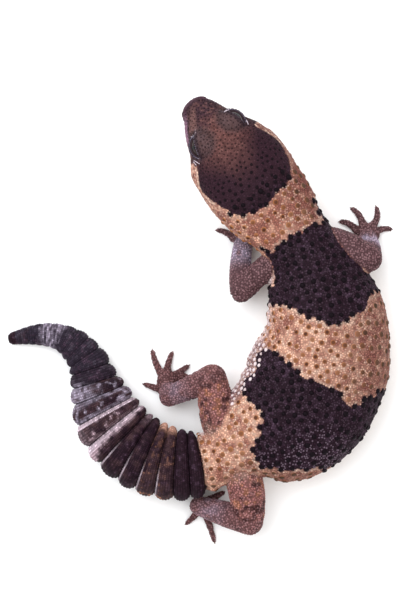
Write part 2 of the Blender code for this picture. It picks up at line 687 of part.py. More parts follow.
def limb_nodes(name, limb, trunk_cutter):
    """The two lengths of one leg and its foot, each cut clear of the one before by GAP."""
    upper_name, lower_name, foot_name = {
        "fore": ("upper_arm", "forearm", "hand"),
        "hind": ("thigh", "shank", "foot"),
    }[name.split("_")[0]]
    side = name.split("_")[1]
    upper_joints = [(shifted(p), r) for p, r in limb["upper"]]
    lower_joints = [(shifted(p), r) for p, r in limb["lower"]]
    upper = new_object(f"{upper_name}_{side}", limb_tube(upper_joints, LIMB_SIDES), "limb")
    combine(upper, [trunk_cutter()], "DIFFERENCE")
    lower = new_object(f"{lower_name}_{side}", limb_tube(lower_joints, LIMB_SIDES), "limb")
    combine(lower, [limb_tube(upper_joints, LIMB_SIDES, GAP), trunk_cutter()], "DIFFERENCE")
    centre, radii = limb["palm"]
    wrist, wrist_radius = lower_joints[-1]
    palm = shifted(centre)
    foot = new_object(f"{foot_name}_{side}", ellipsoid(palm, radii, None, 12, 8), "limb")
    stub = [(wrist, wrist_radius * 0.9), (wrist.lerp(palm, 0.5), wrist_radius * 0.85), (palm, radii[2])]
    pieces = [limb_tube(stub, LIMB_SIDES)]
    pieces += [digit(*points) for points in limb["digits"]]
    combine(foot, pieces, "UNION")
    combine(foot, [limb_tube(lower_joints, LIMB_SIDES, GAP), trunk_cutter()], "DIFFERENCE")
    cut_at_floor(foot)
    keep_largest(foot)
    return upper, lower, foot


def build():
    for obj in list(bpy.data.objects):
        bpy.data.objects.remove(obj)
    draw = random.Random(7)
    head_node()
    eye_node("eye_left", -1)
    eye_node("eye_right", 1)
    trunk_node("neck", HEAD_END, NECK_END, draw)
    trunk_node("chest", NECK_END, CHEST_END, draw)
    trunk_node("belly", CHEST_END, BELLY_END, draw)
    trunk_node("hips", BELLY_END, VENT, draw)
    tail_node("tail_base", VENT, TAIL_BASE_END)
    tail_node("tail_middle", TAIL_BASE_END, TAIL_MIDDLE_END)
    tail_node("tail_tip", TAIL_MIDDLE_END, LENGTH)
    for name, limb in LIMBS.items():
        limb_nodes(name, limb, grown_trunk)


build()
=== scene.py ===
import math

import bmesh
import bpy
import numpy as np
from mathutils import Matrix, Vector
from mathutils.bvhtree import BVHTree
from mathutils.kdtree import KDTree


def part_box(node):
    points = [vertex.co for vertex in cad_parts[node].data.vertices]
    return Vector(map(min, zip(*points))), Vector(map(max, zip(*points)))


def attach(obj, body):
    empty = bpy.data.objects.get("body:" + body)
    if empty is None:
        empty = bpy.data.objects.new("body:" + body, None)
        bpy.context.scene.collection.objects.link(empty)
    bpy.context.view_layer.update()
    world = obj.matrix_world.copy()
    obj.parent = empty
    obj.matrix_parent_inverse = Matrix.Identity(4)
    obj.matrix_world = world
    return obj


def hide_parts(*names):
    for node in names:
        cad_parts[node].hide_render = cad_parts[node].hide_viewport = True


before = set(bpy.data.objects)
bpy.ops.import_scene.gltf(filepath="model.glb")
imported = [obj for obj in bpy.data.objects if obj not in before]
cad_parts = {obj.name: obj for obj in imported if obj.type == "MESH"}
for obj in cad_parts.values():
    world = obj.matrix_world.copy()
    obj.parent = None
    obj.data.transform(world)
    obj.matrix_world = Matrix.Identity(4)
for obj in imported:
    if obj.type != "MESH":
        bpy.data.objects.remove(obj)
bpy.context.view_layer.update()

# The body under the skin
# The gecko is one soft body bent in a C: a blunt head, a plump trunk and a tail swollen with fat.
# It is lofted from cross sections along the backbone. Lengths are in millimetres until a mesh is made.

MM = 0.001
ORIGIN = (-0.23, -0.52)  # the frame's origin in the plan that these lists are drawn in

# x, y, half width, top, widest level and underside at stations from the snout to the tail
STATIONS = np.array((
    (-1.6, 57.25, 4.3, 12.8, 8.9, 6.7),
    (-0.1, 55.5, 5.5, 14.4, 8.8, 6.1),
    (1.5, 53.3, 6.85, 16.0, 8.8, 5.7),
    (3.05, 51.1, 8.05, 17.2, 8.9, 5.4),
    (4.75, 48.95, 9.65, 18.1, 9.2, 5.2),
    (6.35, 46.8, 11.35, 18.7, 9.6, 5.1),
    (8.1, 44.3, 12.45, 19.2, 10.0, 5.0),
    (10.2, 41.7, 12.95, 19.5, 10.4, 5.0),
    (12.7, 38.1, 13.1, 19.5, 10.8, 5.1),
    (15.5, 34.2, 12.7, 19.1, 11.0, 5.3),
    (17.9, 31.5, 12.3, 18.6, 11.0, 5.4),
    (20.7, 28.4, 11.4, 18.0, 10.8, 5.3),
    (22.5, 25.9, 10.4, 17.6, 10.6, 5.1),
    (24.65, 23.2, 9.7, 17.5, 10.4, 4.7),
    (27.1, 19.5, 9.9, 17.9, 10.2, 4.1),
    (28.9, 16.0, 10.9, 18.6, 10.0, 3.4),
    (30.5, 10.8, 13.2, 19.6, 9.6, 2.2),
    (32.25, 5.45, 15.3, 20.5, 9.2, 1.0),
    (33.5, 0.2, 16.4, 21.1, 8.8, 0.1),
    (33.5, -5.2, 17.3, 21.5, 8.5, -0.4),
    (32.5, -10.6, 18.5, 21.7, 8.3, -0.7),
    (30.6, -15.6, 18.8, 21.6, 8.2, -0.7),
    (27.7, -21.1, 18.9, 21.2, 8.2, -0.6),
    (23.7, -25.4, 18.1, 20.6, 8.4, -0.3),
    (18.4, -28.8, 16.2, 19.6, 8.6, 0.3),
    (13.4, -31.2, 13.0, 18.4, 8.8, 1.0),
    (9.2, -33.8, 9.9, 17.2, 8.8, 1.6),
    (4.9, -36.4, 7.9, 15.9, 8.5, 2.0),
    (1.8, -37.9, 8.0, 15.2, 8.1, 1.6),
    (-0.3, -38.6, 8.9, 15.4, 8.0, 1.2),
    (-2.2, -38.95, 9.3, 15.7, 7.9, 0.8),
    (-5.4, -39.1, 9.7, 16.0, 7.8, 0.2),
    (-9.1, -38.6, 10.05, 16.2, 7.7, -0.1),
    (-12.6, -37.6, 10.25, 16.2, 7.6, -0.3),
    (-16.0, -36.0, 10.35, 16.0, 7.4, -0.5),
    (-19.5, -33.7, 10.25, 15.6, 7.2, -0.6),
    (-22.7, -30.3, 10.0, 15.0, 6.9, -0.6),
    (-25.4, -26.3, 9.6, 14.0, 6.4, -0.6),
    (-27.3, -21.9, 8.6, 12.5, 5.7, -0.5),
    (-28.8, -18.0, 7.4, 10.9, 5.0, -0.4),
    (-29.8, -14.8, 6.4, 9.7, 4.5, -0.4),
    (-31.1, -11.3, 5.7, 8.8, 4.1, -0.3),
    (-32.6, -9.1, 5.1, 7.9, 3.7, -0.3),
    (-34.6, -7.0, 4.7, 7.0, 3.3, -0.3),
    (-36.9, -5.4, 4.1, 6.0, 2.8, -0.2),
    (-39.7, -4.3, 3.55, 5.2, 2.5, -0.2),
    (-43.0, -3.85, 3.2, 4.6, 2.2, -0.2),
    (-47.0, -4.05, 2.65, 3.9, 1.8, -0.2),
    (-51.5, -4.85, 1.8, 2.9, 1.4, -0.1),
))
SNOUT_CAP = 2.7  # length of the rounded end before the first station
TAIL_CAP = 1.8  # and behind the last
VENT = 126.0  # where the tail begins
# The grooves between the tail's fat rings
RING_GROOVES = np.array((
    126.0, 129.5, 133.5, 137.5, 141.4, 145.5, 149.6, 153.8, 158.4, 162.9, 166.6, 170.3, 173.9,
    177.0, 180.0, 182.8, 185.4, 187.6, 189.8, 191.8, 193.6, 195.2,
))
# How far a groove's outer end lies behind its middle, as much as its inner end lies ahead, at s
RING_LEAN = np.array((
    (117.0, 0.0), (126.0, 0.7), (129.5, 0.15), (133.5, -0.75), (158.5, -0.75), (163.0, 0.0),
))
RING_DEPTH = 1.6
RING_DEPTH_AT_TIP = 0.3
RING_DEPTH_FADES = (160, 186)
# The head leans over about a line at ROLL_HEIGHT, and the neck takes up the lean between two stations
HEAD_ROLL = math.radians(5)
ROLL_HEIGHT = 11.0
ROLL_FADES = (28.0, 50.0)
# Powers of the cross section's curve above and below its widest level, where 2 is an ellipse
ROUNDNESS_ABOVE = 2.25
ROUNDNESS_BELOW = 2.6
SKIN_INSET = 0.12  # the skin lies this far inside the solid, as the depth of its scales
TRUNK_ROW_PITCH = 0.45
TRUNK_TURN = 3.0  # degrees between two points of a row

steps = np.linalg.norm(np.diff(STATIONS[:, :2], axis=0), axis=1)
STATION_S = SNOUT_CAP + np.concatenate([[0.0], np.cumsum(steps)])
STATION_SLOPES = np.gradient(STATIONS, STATION_S, axis=0)
LENGTH = float(STATION_S[-1]) + TAIL_CAP


def ease(low, high, value):
    share = np.clip((value - low) / (high - low), 0, 1)
    return share * share * (3 - 2 * share)


def station(s):
    """The values of STATIONS and their slopes at s, on a smooth curve."""
    s = np.clip(s, STATION_S[0], STATION_S[-1])
    i = np.clip(np.searchsorted(STATION_S, s, side="right") - 1, 0, len(STATION_S) - 2)
    step = (STATION_S[i + 1] - STATION_S[i])[:, None]
    t = (s - STATION_S[i])[:, None] / step
    a, b = STATIONS[i], STATIONS[i + 1]
    ma, mb = STATION_SLOPES[i] * step, STATION_SLOPES[i + 1] * step
    value = (2 * t**3 - 3 * t**2 + 1) * a + (t**3 - 2 * t**2 + t) * ma
    value += (3 * t**2 - 2 * t**3) * b + (t**3 - t**2) * mb
    slope = (6 * t**2 - 6 * t) * (a - b) + (3 * t**2 - 4 * t + 1) * ma + (3 * t**2 - 2 * t) * mb
    return value, slope / step


def ring_place(s):
    """Which fat ring of the tail s is in, -1 outside them all, and how far through that ring."""
    i = np.searchsorted(RING_GROOVES, s, side="right") - 1
    ring = np.clip(i, 0, len(RING_GROOVES) - 2)
    t = (s - RING_GROOVES[ring]) / (RING_GROOVES[ring + 1] - RING_GROOVES[ring])
    return np.where(i < len(RING_GROOVES) - 1, i, -1), np.clip(t, 0, 1)


def ring_notch(s):
    """Depth of the groove between two tail rings at s."""
    ring, t = ring_place(s)
    depth = RING_DEPTH + (RING_DEPTH_AT_TIP - RING_DEPTH) * ease(*RING_DEPTH_FADES, s)
    notch = depth * (1 - np.sqrt(1 - 0.97 * (2 * t - 1) ** 2)) / (1 - math.sqrt(0.03))
    return np.where(ring >= 0, notch, np.where(s < VENT, RING_DEPTH * ease(VENT - 1.6, VENT, s), 0))


def ring_lean(s):
    return np.interp(s, RING_LEAN[:, 0], RING_LEAN[:, 1])


def cap_share(s):
    closed = np.maximum((STATION_S[0] - s) / SNOUT_CAP, (s - STATION_S[-1]) / TAIL_CAP)
    return np.sqrt(1 - np.clip(closed, 0, 1) ** 2)


def backbone(s):
    """The backbone's middle and its direction at s, seen from above."""
    value, slope = station(s)
    along = slope[:, :2] / np.linalg.norm(slope[:, :2], axis=1)[:, None]
    beyond = s - np.clip(s, STATION_S[0], STATION_S[-1])
    return value[:, :2] - ORIGIN + along * beyond[:, None], along


def place(s, side, height):
    """Points beside the backbone: side is positive to the animal's right."""
    s, side, height = np.broadcast_arrays(*(np.asarray(v, float).reshape(-1) for v in (s, side, height)))
    middle, along = backbone(s)
    right = np.stack([-along[:, 1], along[:, 0]], axis=1)
    roll = HEAD_ROLL * (1 - ease(*ROLL_FADES, s))
    up = height - ROLL_HEIGHT
    across = side * np.cos(roll) + up * np.sin(roll)
    lift = ROLL_HEIGHT + up * np.cos(roll) - side * np.sin(roll)
    return np.column_stack([middle + right * across[:, None], lift])


def outline(s, angle, grow=0.0):
    """The body's surface at s, angle degrees round from the right side over the back, moved out by grow."""
    s, angle = np.broadcast_arrays(np.asarray(s, float).reshape(-1), np.asarray(angle, float).reshape(-1))
    c, d = np.cos(np.radians(angle)), np.sin(np.radians(angle))
    power = np.where(d >= 0, 2 / ROUNDNESS_ABOVE, 2 / ROUNDNESS_BELOW)
    across, lift = np.sign(c) * np.abs(c) ** power, np.sign(d) * np.abs(d) ** power
    notch = ring_notch(s)
    s = s + across * ring_lean(s)
    width, top, middle, under = station(s)[0][:, 2:].T
    rise = np.where(d >= 0, top - middle, middle - under)
    share = cap_share(s)
    side = ((width - notch) * share + grow) * across
    return place(s, side, middle + ((rise - notch) * share + grow) * lift)


def loft_faces(rows, columns, first=0):
    """Quads between rows of points that each close on themselves."""
    i, j = np.meshgrid(np.arange(rows - 1), np.arange(columns), indexing="ij")
    k = (j + 1) % columns
    near, far = i * columns, (i + 1) * columns
    quads = np.stack([near + j, near + k, far + k, far + j], axis=-1)
    return (quads.reshape(-1, 4)[:, ::-1] + first).tolist()


def closed_loft(rings):
    """(points, faces) of a skin through rings, with a fan at each end."""
    rings = np.asarray(rings)
    rows, columns = rings.shape[:2]
    points = np.vstack([rings.reshape(-1, 3), rings[0].mean(axis=0), rings[-1].mean(axis=0)])
    near, far, last = rows * columns, rows * columns + 1, (rows - 1) * columns
    faces = loft_faces(rows, columns)
    faces += [(near, j, (j + 1) % columns) for j in range(columns)]
    faces += [(far, last + (j + 1) % columns, last + j) for j in range(columns)]
    return points, faces


def trunk_loft():
    """The head, trunk and tail, with rows of points closer at the two rounded ends."""
    rows = np.arange(0.85, LENGTH - 0.5, TRUNK_ROW_PITCH)
    rows = np.concatenate([[0.12, 0.3, 0.55], rows, [LENGTH - 0.35, LENGTH - 0.1]])
    angles = np.arange(0, 360, TRUNK_TURN)
    s, angle = np.meshgrid(rows, angles, indexing="ij")
    return closed_loft(outline(s, angle, -SKIN_INSET).reshape(len(rows), len(angles), 3))


# The legs
# Four short, round legs end in stubby toes with no pads, each held flat on the floor.
# Each is a tapering tube through its joints, a little fuller at the muscles, and each toe a thinner tube.

# A limb's lengths are three places with a radius at each, its palm a centre and radii, and its digits
# the root, middle and tip of each toe, seen from above
LIMBS = {
    "fore_left": {
        "upper": (((23.3, 18.6, 10.0), 3.7), ((16.7, 13.5, 9.2), 3.45), ((10.7, 8.0, 7.6), 3.1)),
        "lower": (((10.7, 8.0, 7.6), 3.1), ((10.5, 14.0, 5.9), 2.85), ((11.1, 19.4, 3.8), 2.7)),
        "palm": ((11.0, 22.9, 1.9), (2.6, 2.9, 1.8)),
        "digits": (
            ((9.0, 21.9), (6.9, 24.1), (3.4, 24.8)),
            ((9.4, 24.4), (8.3, 26.9), (7.4, 29.6)),
            ((10.6, 25.0), (10.6, 27.6), (11.1, 30.6)),
            ((11.6, 24.2), (13.4, 26.0), (15.4, 27.9)),
            ((11.9, 22.7), (14.4, 22.8), (17.1, 22.4)),
        ),
    },
    "fore_right": {
        "upper": (((32.4, 21.5, 10.0), 4.5), ((38.6, 19.5, 10.6), 4.4), ((44.9, 16.75, 10.6), 3.7)),
        "lower": (((44.9, 16.75, 10.6), 3.7), ((45.4, 19.6, 7.2), 3.0), ((45.4, 22.2, 3.9), 2.6)),
        "palm": ((45.7, 23.8, 1.9), (3.1, 2.9, 1.8)),
        "digits": (
            ((43.0, 24.2), (40.4, 26.6), (37.4, 27.1)),
            ((44.4, 25.8), (43.1, 29.1), (40.6, 31.2)),
            ((46.4, 25.8), (48.2, 28.4), (47.7, 32.0)),
            ((47.3, 23.6), (49.5, 25.1), (52.8, 25.0)),
            ((46.6, 22.8), (48.0, 20.4), (48.0, 17.4)),
        ),
    },
    "hind_left": {
        "upper": (((6.4, -33.2, 9.2), 4.6), ((4.3, -24.3, 10.4), 4.95), ((2.8, -15.5, 10.6), 3.9)),
        "lower": (((2.8, -15.5, 10.6), 3.9), ((-3.1, -18.15, 7.6), 3.15), ((-8.9, -20.7, 4.4), 2.75)),
        "palm": ((-9.7, -16.8, 1.8), (2.6, 3.5, 1.9)),
        "digits": (
            ((-10.7, -19.4), (-13.1, -18.4), (-16.6, -17.3)),
            ((-10.8, -15.0), (-12.7, -11.6), (-13.7, -7.5)),
            ((-9.4, -14.4), (-9.1, -11.4), (-7.8, -8.2)),
            ((-8.2, -15.4), (-5.8, -13.9), (-3.1, -12.0)),
            ((-8.2, -16.8), (-6.0, -15.4), (-3.4, -15.4)),
        ),
    },
    "hind_right": {
        "upper": (((9.6, -36.6, 9.2), 4.6), ((12.0, -45.8, 10.2), 4.8), ((12.9, -53.9, 10.6), 3.75)),
        "lower": (((12.9, -53.9, 10.6), 3.75), ((6.3, -52.3, 7.6), 3.3), ((-0.8, -50.4, 4.6), 2.6)),
        "palm": ((0.9, -51.0, 1.8), (3.5, 2.6, 1.9)),
        "digits": (
            ((-0.9, -51.9), (-2.3, -54.0), (-4.9, -56.4)),
            ((0.9, -52.8), (2.3, -56.8), (3.7, -61.8)),
            ((2.4, -52.0), (5.2, -53.6), (8.2, -54.0)),
            ((2.8, -50.8), (5.6, -51.4), (8.3, -52.0)),
            ((1.8, -49.4), (4.2, -48.2), (6.5, -47.0)),
        ),
    },
}
# A digit's radius at shares of its length: a swelling at each joint, and the blunt end under the claw
DIGIT_SHARES = np.array((0.0, 0.12, 0.25, 0.38, 0.5, 0.62, 0.74, 0.84, 0.9, 0.935))
DIGIT_RADII = np.array((1.05, 1.08, 0.96, 0.85, 0.88, 0.74, 0.72, 0.62, 0.5, 0.3))
DIGIT_SINK = 0.15  # how far the toes are pressed into the floor


def along_curve(points, t):
    """Points at shares t of a curve that passes through three points, the middle one half way."""
    a, b, c = (np.asarray(p, float) for p in points)
    t = np.asarray(t, float)[:, None]
    return a * (1 - t) * (1 - 2 * t) + b * 4 * t * (1 - t) + c * t * (2 * t - 1)


def tube(path, radii, sides):
    """(points, faces) of a round tube along path."""
    path, radii = np.asarray(path, float), np.asarray(radii, float)
    tangents = np.gradient(path, axis=0)
    tangents /= np.linalg.norm(tangents, axis=1)[:, None]
    side = np.cross(tangents[0], (0, 0, 1))
    if np.linalg.norm(side) < 0.2:
        side = np.cross(tangents[0], (0, 1, 0))
    turns = 2 * np.pi * (np.arange(sides) + 0.5) / sides
    rings = []
    for point, tangent, radius in zip(path, tangents, radii):
        side = side - tangent * side.dot(tangent)
        side /= np.linalg.norm(side)
        up = np.cross(side, tangent)
        rings.append(point + (np.outer(np.cos(turns), side) + np.outer(np.sin(turns), up)) * radius)
    return closed_loft(rings)


def in_frame(point):
    """A place from the lists above, moved to the frame's origin."""
    return np.array((point[0] - ORIGIN[0], point[1] - ORIGIN[1], *point[2:]), float)


def limb_tube(joints, grow=0.0, muscle=0.0):
    """A limb's length with ball ends, fullest half way."""
    t = np.linspace(0, 1, 25)
    path = along_curve([in_frame(p) for p, _ in joints], t)
    radii = along_curve([[r] for _, r in joints], t)[:, 0] + grow + muscle * np.sin(np.pi * t) ** 2
    ball = np.radians((80, 65, 50, 35, 18))
    start = (path[0] - path[1]) / np.linalg.norm(path[0] - path[1])
    end = (path[-1] - path[-2]) / np.linalg.norm(path[-1] - path[-2])
    head = path[0] + start * (radii[0] * np.sin(ball))[:, None]
    foot = path[-1] + end * (radii[-1] * np.sin(ball[::-1]))[:, None]
    widths = [radii[0] * np.cos(ball), radii, radii[-1] * np.cos(ball[::-1])]
    return tube(np.vstack([head, path, foot]), np.concatenate(widths), 28)


def ellipsoid(centre, radii, axes=np.identity(3), segments=32, rings=20):
    turn, tilt = np.meshgrid(
        2 * np.pi * np.arange(segments) / segments, np.pi * (np.arange(rings) + 0.5) / rings, indexing="xy"
    )
    unit = np.stack([np.cos(turn) * np.sin(tilt), np.sin(turn) * np.sin(tilt), np.cos(tilt)], axis=-1)
    points, faces = closed_loft(unit)
    return (points * radii) @ np.asarray(axes) + centre, faces


def digit_path(points, shares):
    """The middle of a digit, flat on the floor, and its radius, at shares of its length."""
    ends = [in_frame(p) for p in points]
    radii = np.interp(shares, DIGIT_SHARES, DIGIT_RADII)
    plan = along_curve(ends, shares)
    return np.column_stack([plan, np.maximum(radii - DIGIT_SINK, 0.3)]), radii


def foot_lumps(limb):
    """The palm or sole, the wrist or ankle that runs into it, and the digits."""
    centre, radii = limb["palm"]
    palm = in_frame(centre)
    wrist, wrist_radius = in_frame(limb["lower"][-1][0]), limb["lower"][-1][1]
    t = np.linspace(0, 1, 12)[:, None]
    lumps = [ellipsoid(palm, radii)]
    widths = wrist_radius + (radii[2] - wrist_radius) * t[:, 0]
    lumps.append(tube(wrist + (palm - wrist) * t, widths, 24))
    for points in limb["digits"]:
        path, widths = digit_path(points, DIGIT_SHARES)
        lumps.append(tube(path, widths, 14))
    return lumps


# The eyes' place
# Large eyeballs sit in orbits that bulge from the head's sides. The solids give their centres and size.

eye_boxes = {side: np.array(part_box(f"eye_{side}")) / MM for side in ("left", "right")}
EYE_CENTRES = {side: box.mean(axis=0) for side, box in eye_boxes.items()}
EYE_RADIUS = float((eye_boxes["left"][1] - eye_boxes["left"][0]).min() / 2)
EYE_S = 12.2  # where the eyes lie along the head
LID_RADIUS = EYE_RADIUS + 0.62
SIDES = {"left": -1, "right": 1}
# How the lids stand open, in degrees round the eyeball: above the horizontal, half height, forwards
LID_OPENINGS = {"left": (27, 23, 24), "right": (33, 25, 14)}
LID_HALF_LENGTH = 60  # of the opening, in degrees too


def head_axes(s):
    """The head's own directions at s: backwards, to its right and up."""
    origin = place(s, 0, ROLL_HEIGHT)[0]
    right = place(s, 1, ROLL_HEIGHT)[0] - origin
    up = place(s, 0, ROLL_HEIGHT + 1)[0] - origin
    back = np.cross(right, up)
    return np.array([v / np.linalg.norm(v) for v in (back, right, up)])


def lid_axes(side):
    """Backwards along the eye's slit, out of its opening, and across it."""
    back, right, up = head_axes(EYE_S)
    tilt, _, turn = map(math.radians, LID_OPENINGS[side])
    outward = right * SIDES[side] * math.cos(turn) - back * math.sin(turn)
    back = back * math.cos(turn) + right * SIDES[side] * math.sin(turn)
    look = outward * math.cos(tilt) + up * math.sin(tilt)
    return back, look, up * math.cos(tilt) - outward * math.sin(tilt)


# The skin's mesh
# One sheet of skin covers head, trunk, tail and legs with no seam. The lumps above are fused by a
# fine voxel remesh, relaxed where limbs leave the body, and then pressed into folds and features.

VOXEL = 0.3
FLOOR_CLEAR = 0.02  # level of the skin where it lies on the floor
BATCH = 20000  # points set against the backbone at a time
ON_FOOT = 2.2  # what a foot counts as along its limb, whose joints are at 1 and 2


def put_mesh(name, points, faces):
    mesh = bpy.data.meshes.new(name)
    mesh.from_pydata((np.asarray(points) * MM).tolist(), [], faces)
    mesh.validate()
    obj = bpy.data.objects.new(name, mesh)
    bpy.context.scene.collection.objects.link(obj)
    return obj


def joined(lumps):
    points, faces, first = [], [], 0
    for lump_points, lump_faces in lumps:
        points.append(np.asarray(lump_points))
        faces += [tuple(v + first for v in face) for face in lump_faces]
        first += len(lump_points)
    return np.vstack(points), faces


def mesh_points(mesh):
    flat = np.empty(len(mesh.vertices) * 3, np.float32)
    mesh.vertices.foreach_get("co", flat)
    return flat.reshape(-1, 3).astype(float) / MM


def set_points(mesh, points):
    mesh.vertices.foreach_set("co", (points * MM).astype(np.float32).reshape(-1))
    mesh.update()


def mesh_normals(mesh):
    flat = np.empty(len(mesh.vertices) * 3, np.float32)
    mesh.vertex_normals.foreach_get("vector", flat)
    return flat.reshape(-1, 3).astype(float)


def relax(points, edges, weight, rounds):
    """Moves each point towards the middle of its neighbours, by its weight."""
    count = np.bincount(edges.reshape(-1), minlength=len(points))[:, None]
    for _ in range(rounds):
        total = np.zeros_like(points)
        for axis in range(3):
            total[:, axis] = np.bincount(edges[:, 0], points[edges[:, 1], axis], len(points))
            total[:, axis] += np.bincount(edges[:, 1], points[edges[:, 0], axis], len(points))
        points = points + (total / count - points) * weight[:, None]
    return points


def limb_distance(points, joints):
    """Distance off one length of a limb, and how far along it, from 0 to 1."""
    t = np.linspace(0, 1, 9)
    path = along_curve([in_frame(p) for p, _ in joints], t)
    radii = along_curve([[r] for _, r in joints], t)[:, 0]
    nearest = np.full(len(points), 1e9)
    share = np.zeros(len(points))
    for i in range(len(t) - 1):
        step = path[i + 1] - path[i]
        u = np.clip((points - path[i]) @ step / step.dot(step), 0, 1)
        away = np.linalg.norm(points - path[i] - u[:, None] * step, axis=1)
        away -= radii[i] + (radii[i + 1] - radii[i]) * u
        closer = away < nearest
        nearest = np.where(closer, away, nearest)
        share = np.where(closer, (i + u) / (len(t) - 1), share)
    return nearest, share


def backbone_places(points):
    """s, side and height in the head's and trunk's own terms, for each point."""
    grid = np.arange(0, LENGTH, 0.5)
    centres = station(grid)[0][:, :2] - ORIGIN
    s = np.empty(len(points))
    for start in range(0, len(points), BATCH):
        part = points[start:start + BATCH, :2]
        gap = ((part[:, None, :] - centres[None]) ** 2).sum(axis=2)
        s[start:start + BATCH] = grid[gap.argmin(axis=1)]
    for _ in range(3):
        middle, along = backbone(s)
        s = np.clip(s + ((points[:, :2] - middle) * along).sum(axis=1) * 0.9, 0, LENGTH)
    middle, along = backbone(s)
    right = np.stack([-along[:, 1], along[:, 0]], axis=1)
    across = ((points[:, :2] - middle) * right).sum(axis=1)
    lift = points[:, 2] - ROLL_HEIGHT
    roll = HEAD_ROLL * (1 - ease(*ROLL_FADES, s))
    side = across * np.cos(roll) - lift * np.sin(roll)
    height = ROLL_HEIGHT + lift * np.cos(roll) + across * np.sin(roll)
    return s, side, height


class Places:
    """Where points lie on the animal, in its own terms.

    s runs back from the snout, side and height are off the backbone, and round is the angle that outline
    takes. ring is s with the lean of the tail's grooves taken out. outside is the distance off the body
    and limb_gap that off the nearest limb, which limb_name counts. limb is 1 on a limb and 0 on the body.
    """

    def __init__(self, points):
        self.points = points
        self.s, self.side, self.height = backbone_places(points)
        value = station(self.s)[0]
        self.width, top, self.middle, under = value[:, 2:].T
        share = np.maximum(cap_share(self.s), 0.05)
        above = self.height >= self.middle
        rise = np.where(above, top - self.middle, self.middle - under) * share
        power = np.where(above, ROUNDNESS_ABOVE, ROUNDNESS_BELOW)
        c = np.abs(self.side / (self.width * share)) ** (power / 2)
        d = np.abs((self.height - self.middle) / rise) ** (power / 2)
        size = np.maximum(np.hypot(c, d), 1e-6)
        self.round = np.degrees(np.arctan2(np.where(above, d, -d), np.where(self.side >= 0, c, -c)))
        self.round = np.where(self.round < -90, self.round + 360, self.round)
        across = np.sign(self.side) * (c / size) ** (2 / power)
        self.ring = self.s - across * ring_lean(self.s)
        self.ring = self.s - across * ring_lean(self.ring)
        scale = np.minimum(self.width, rise)
        self.outside = (size ** (2 / power) - 1) * scale
        self.limb_gap = np.full(len(points), 1e9)
        self.limb_share = np.zeros(len(points))
        self.limb_name = np.zeros(len(points), int)
        for index, limb in enumerate(LIMBS.values()):
            palm = in_frame(limb["palm"][0])
            foot_gap = np.linalg.norm((points - palm) / limb["palm"][1], axis=1) * 2.4 - 2.4
            for digit in limb["digits"]:
                path, radii = digit_path(digit, np.linspace(0, 0.9, 8))
                for centre, radius in zip(path, radii):
                    foot_gap = np.minimum(foot_gap, np.linalg.norm(points - centre, axis=1) - radius)
            upper, upper_share = limb_distance(points, limb["upper"])
            lower, lower_share = limb_distance(points, limb["lower"])
            options = np.stack([upper, lower, foot_gap])
            shares = np.stack([upper_share, 1 + lower_share, np.full(len(points), ON_FOOT)])
            best = options.argmin(axis=0)
            gap = options.min(axis=0)
            closer = gap < self.limb_gap
            self.limb_gap = np.where(closer, gap, self.limb_gap)
            picked = np.take_along_axis(shares, best[None], axis=0)[0]
            self.limb_share = np.where(closer, picked, self.limb_share)
            self.limb_name = np.where(closer, index, self.limb_name)
        self.limb = ease(-0.5, 0.5, self.outside - self.limb_gap)


def skin_mesh():
    """The fused sheet, smoothed at the joints and drawn back to the loft's exact surface elsewhere."""
    lumps = [trunk_loft()]
    back, right, up = head_axes(EYE_S)
    for centre in EYE_CENTRES.values():
        lumps.append(ellipsoid(centre, (LID_RADIUS * 1.05, LID_RADIUS, LID_RADIUS), (back, right, up)))
    for limb in LIMBS.values():
        lumps.append(limb_tube(limb["upper"], -0.05, 0.15))
        lumps.append(limb_tube(limb["lower"], -0.05, 0.12))
        lumps += foot_lumps(limb)
    obj = put_mesh("skin", *joined(lumps))
    remesh = obj.modifiers.new("fuse", "REMESH")
    remesh.mode = "VOXEL"
    remesh.voxel_size = VOXEL * MM
    graph = bpy.context.evaluated_depsgraph_get()
    mesh = bpy.data.meshes.new_from_object(obj.evaluated_get(graph))
    obj.modifiers.clear()
    obj.data = mesh
    points = mesh_points(mesh)
    edges = np.empty(len(mesh.edges) * 2, np.int32)
    mesh.edges.foreach_get("vertices", edges)
    edges = edges.reshape(-1, 2)
    where = Places(points)
    joint = np.exp(-((np.abs(where.outside) + np.abs(where.limb_gap)) / 1.3) ** 2)
    clear = ease(0.9, 2.2, where.limb_gap) * (where.s > 1.2) * (where.s < LENGTH - 0.2)
    for centre in EYE_CENTRES.values():
        ball = np.linalg.norm(points - centre, axis=1) - LID_RADIUS
        joint = np.maximum(joint, np.exp(-((np.abs(where.outside) + np.abs(ball)) / 1.7) ** 2))
        clear *= ease(0.8, 2.6, ball)
    points = relax(points, edges, 0.5 * joint, 40)
    points = relax(points, edges, np.full(len(points), 0.45), 4)
    where = Places(points)
    exact = outline(where.ring, where.round, -SKIN_INSET)
    clear *= ease(1.6, 0.8, np.linalg.norm(exact - points, axis=1))
    points += (exact - points) * clear[:, None]
    points[:, 2] = np.maximum(points[:, 2], FLOOR_CLEAR)
    set_points(mesh, points)
    return obj


skin = skin_mesh()


# The face
# The mouth closes in a fine groove between two lips, and the nostrils and ears are open pits. The
# lids part in an almond slit, behind which the skin turns in round the eyeball.

MOUTH_END = 21.5
MOUTH_DEPTH = 0.45
LIP_HEIGHT = 0.12
NOSTRIL = (1.7, 2.75, 11.4)  # distance behind the snout, off the backbone and above the floor
NOSTRIL_DEPTH = 0.75
EAR = (28.6, 12.6, 11.6)
EAR_DEPTH = 1.5
EAR_RIM = 0.12
LID_WALL = 0.16
HEAD_FROM = 22  # the head's part of the mesh lies beyond this y
EYE_SOCKET = EYE_RADIUS - 0.8  # how far in the skin turns behind the lids


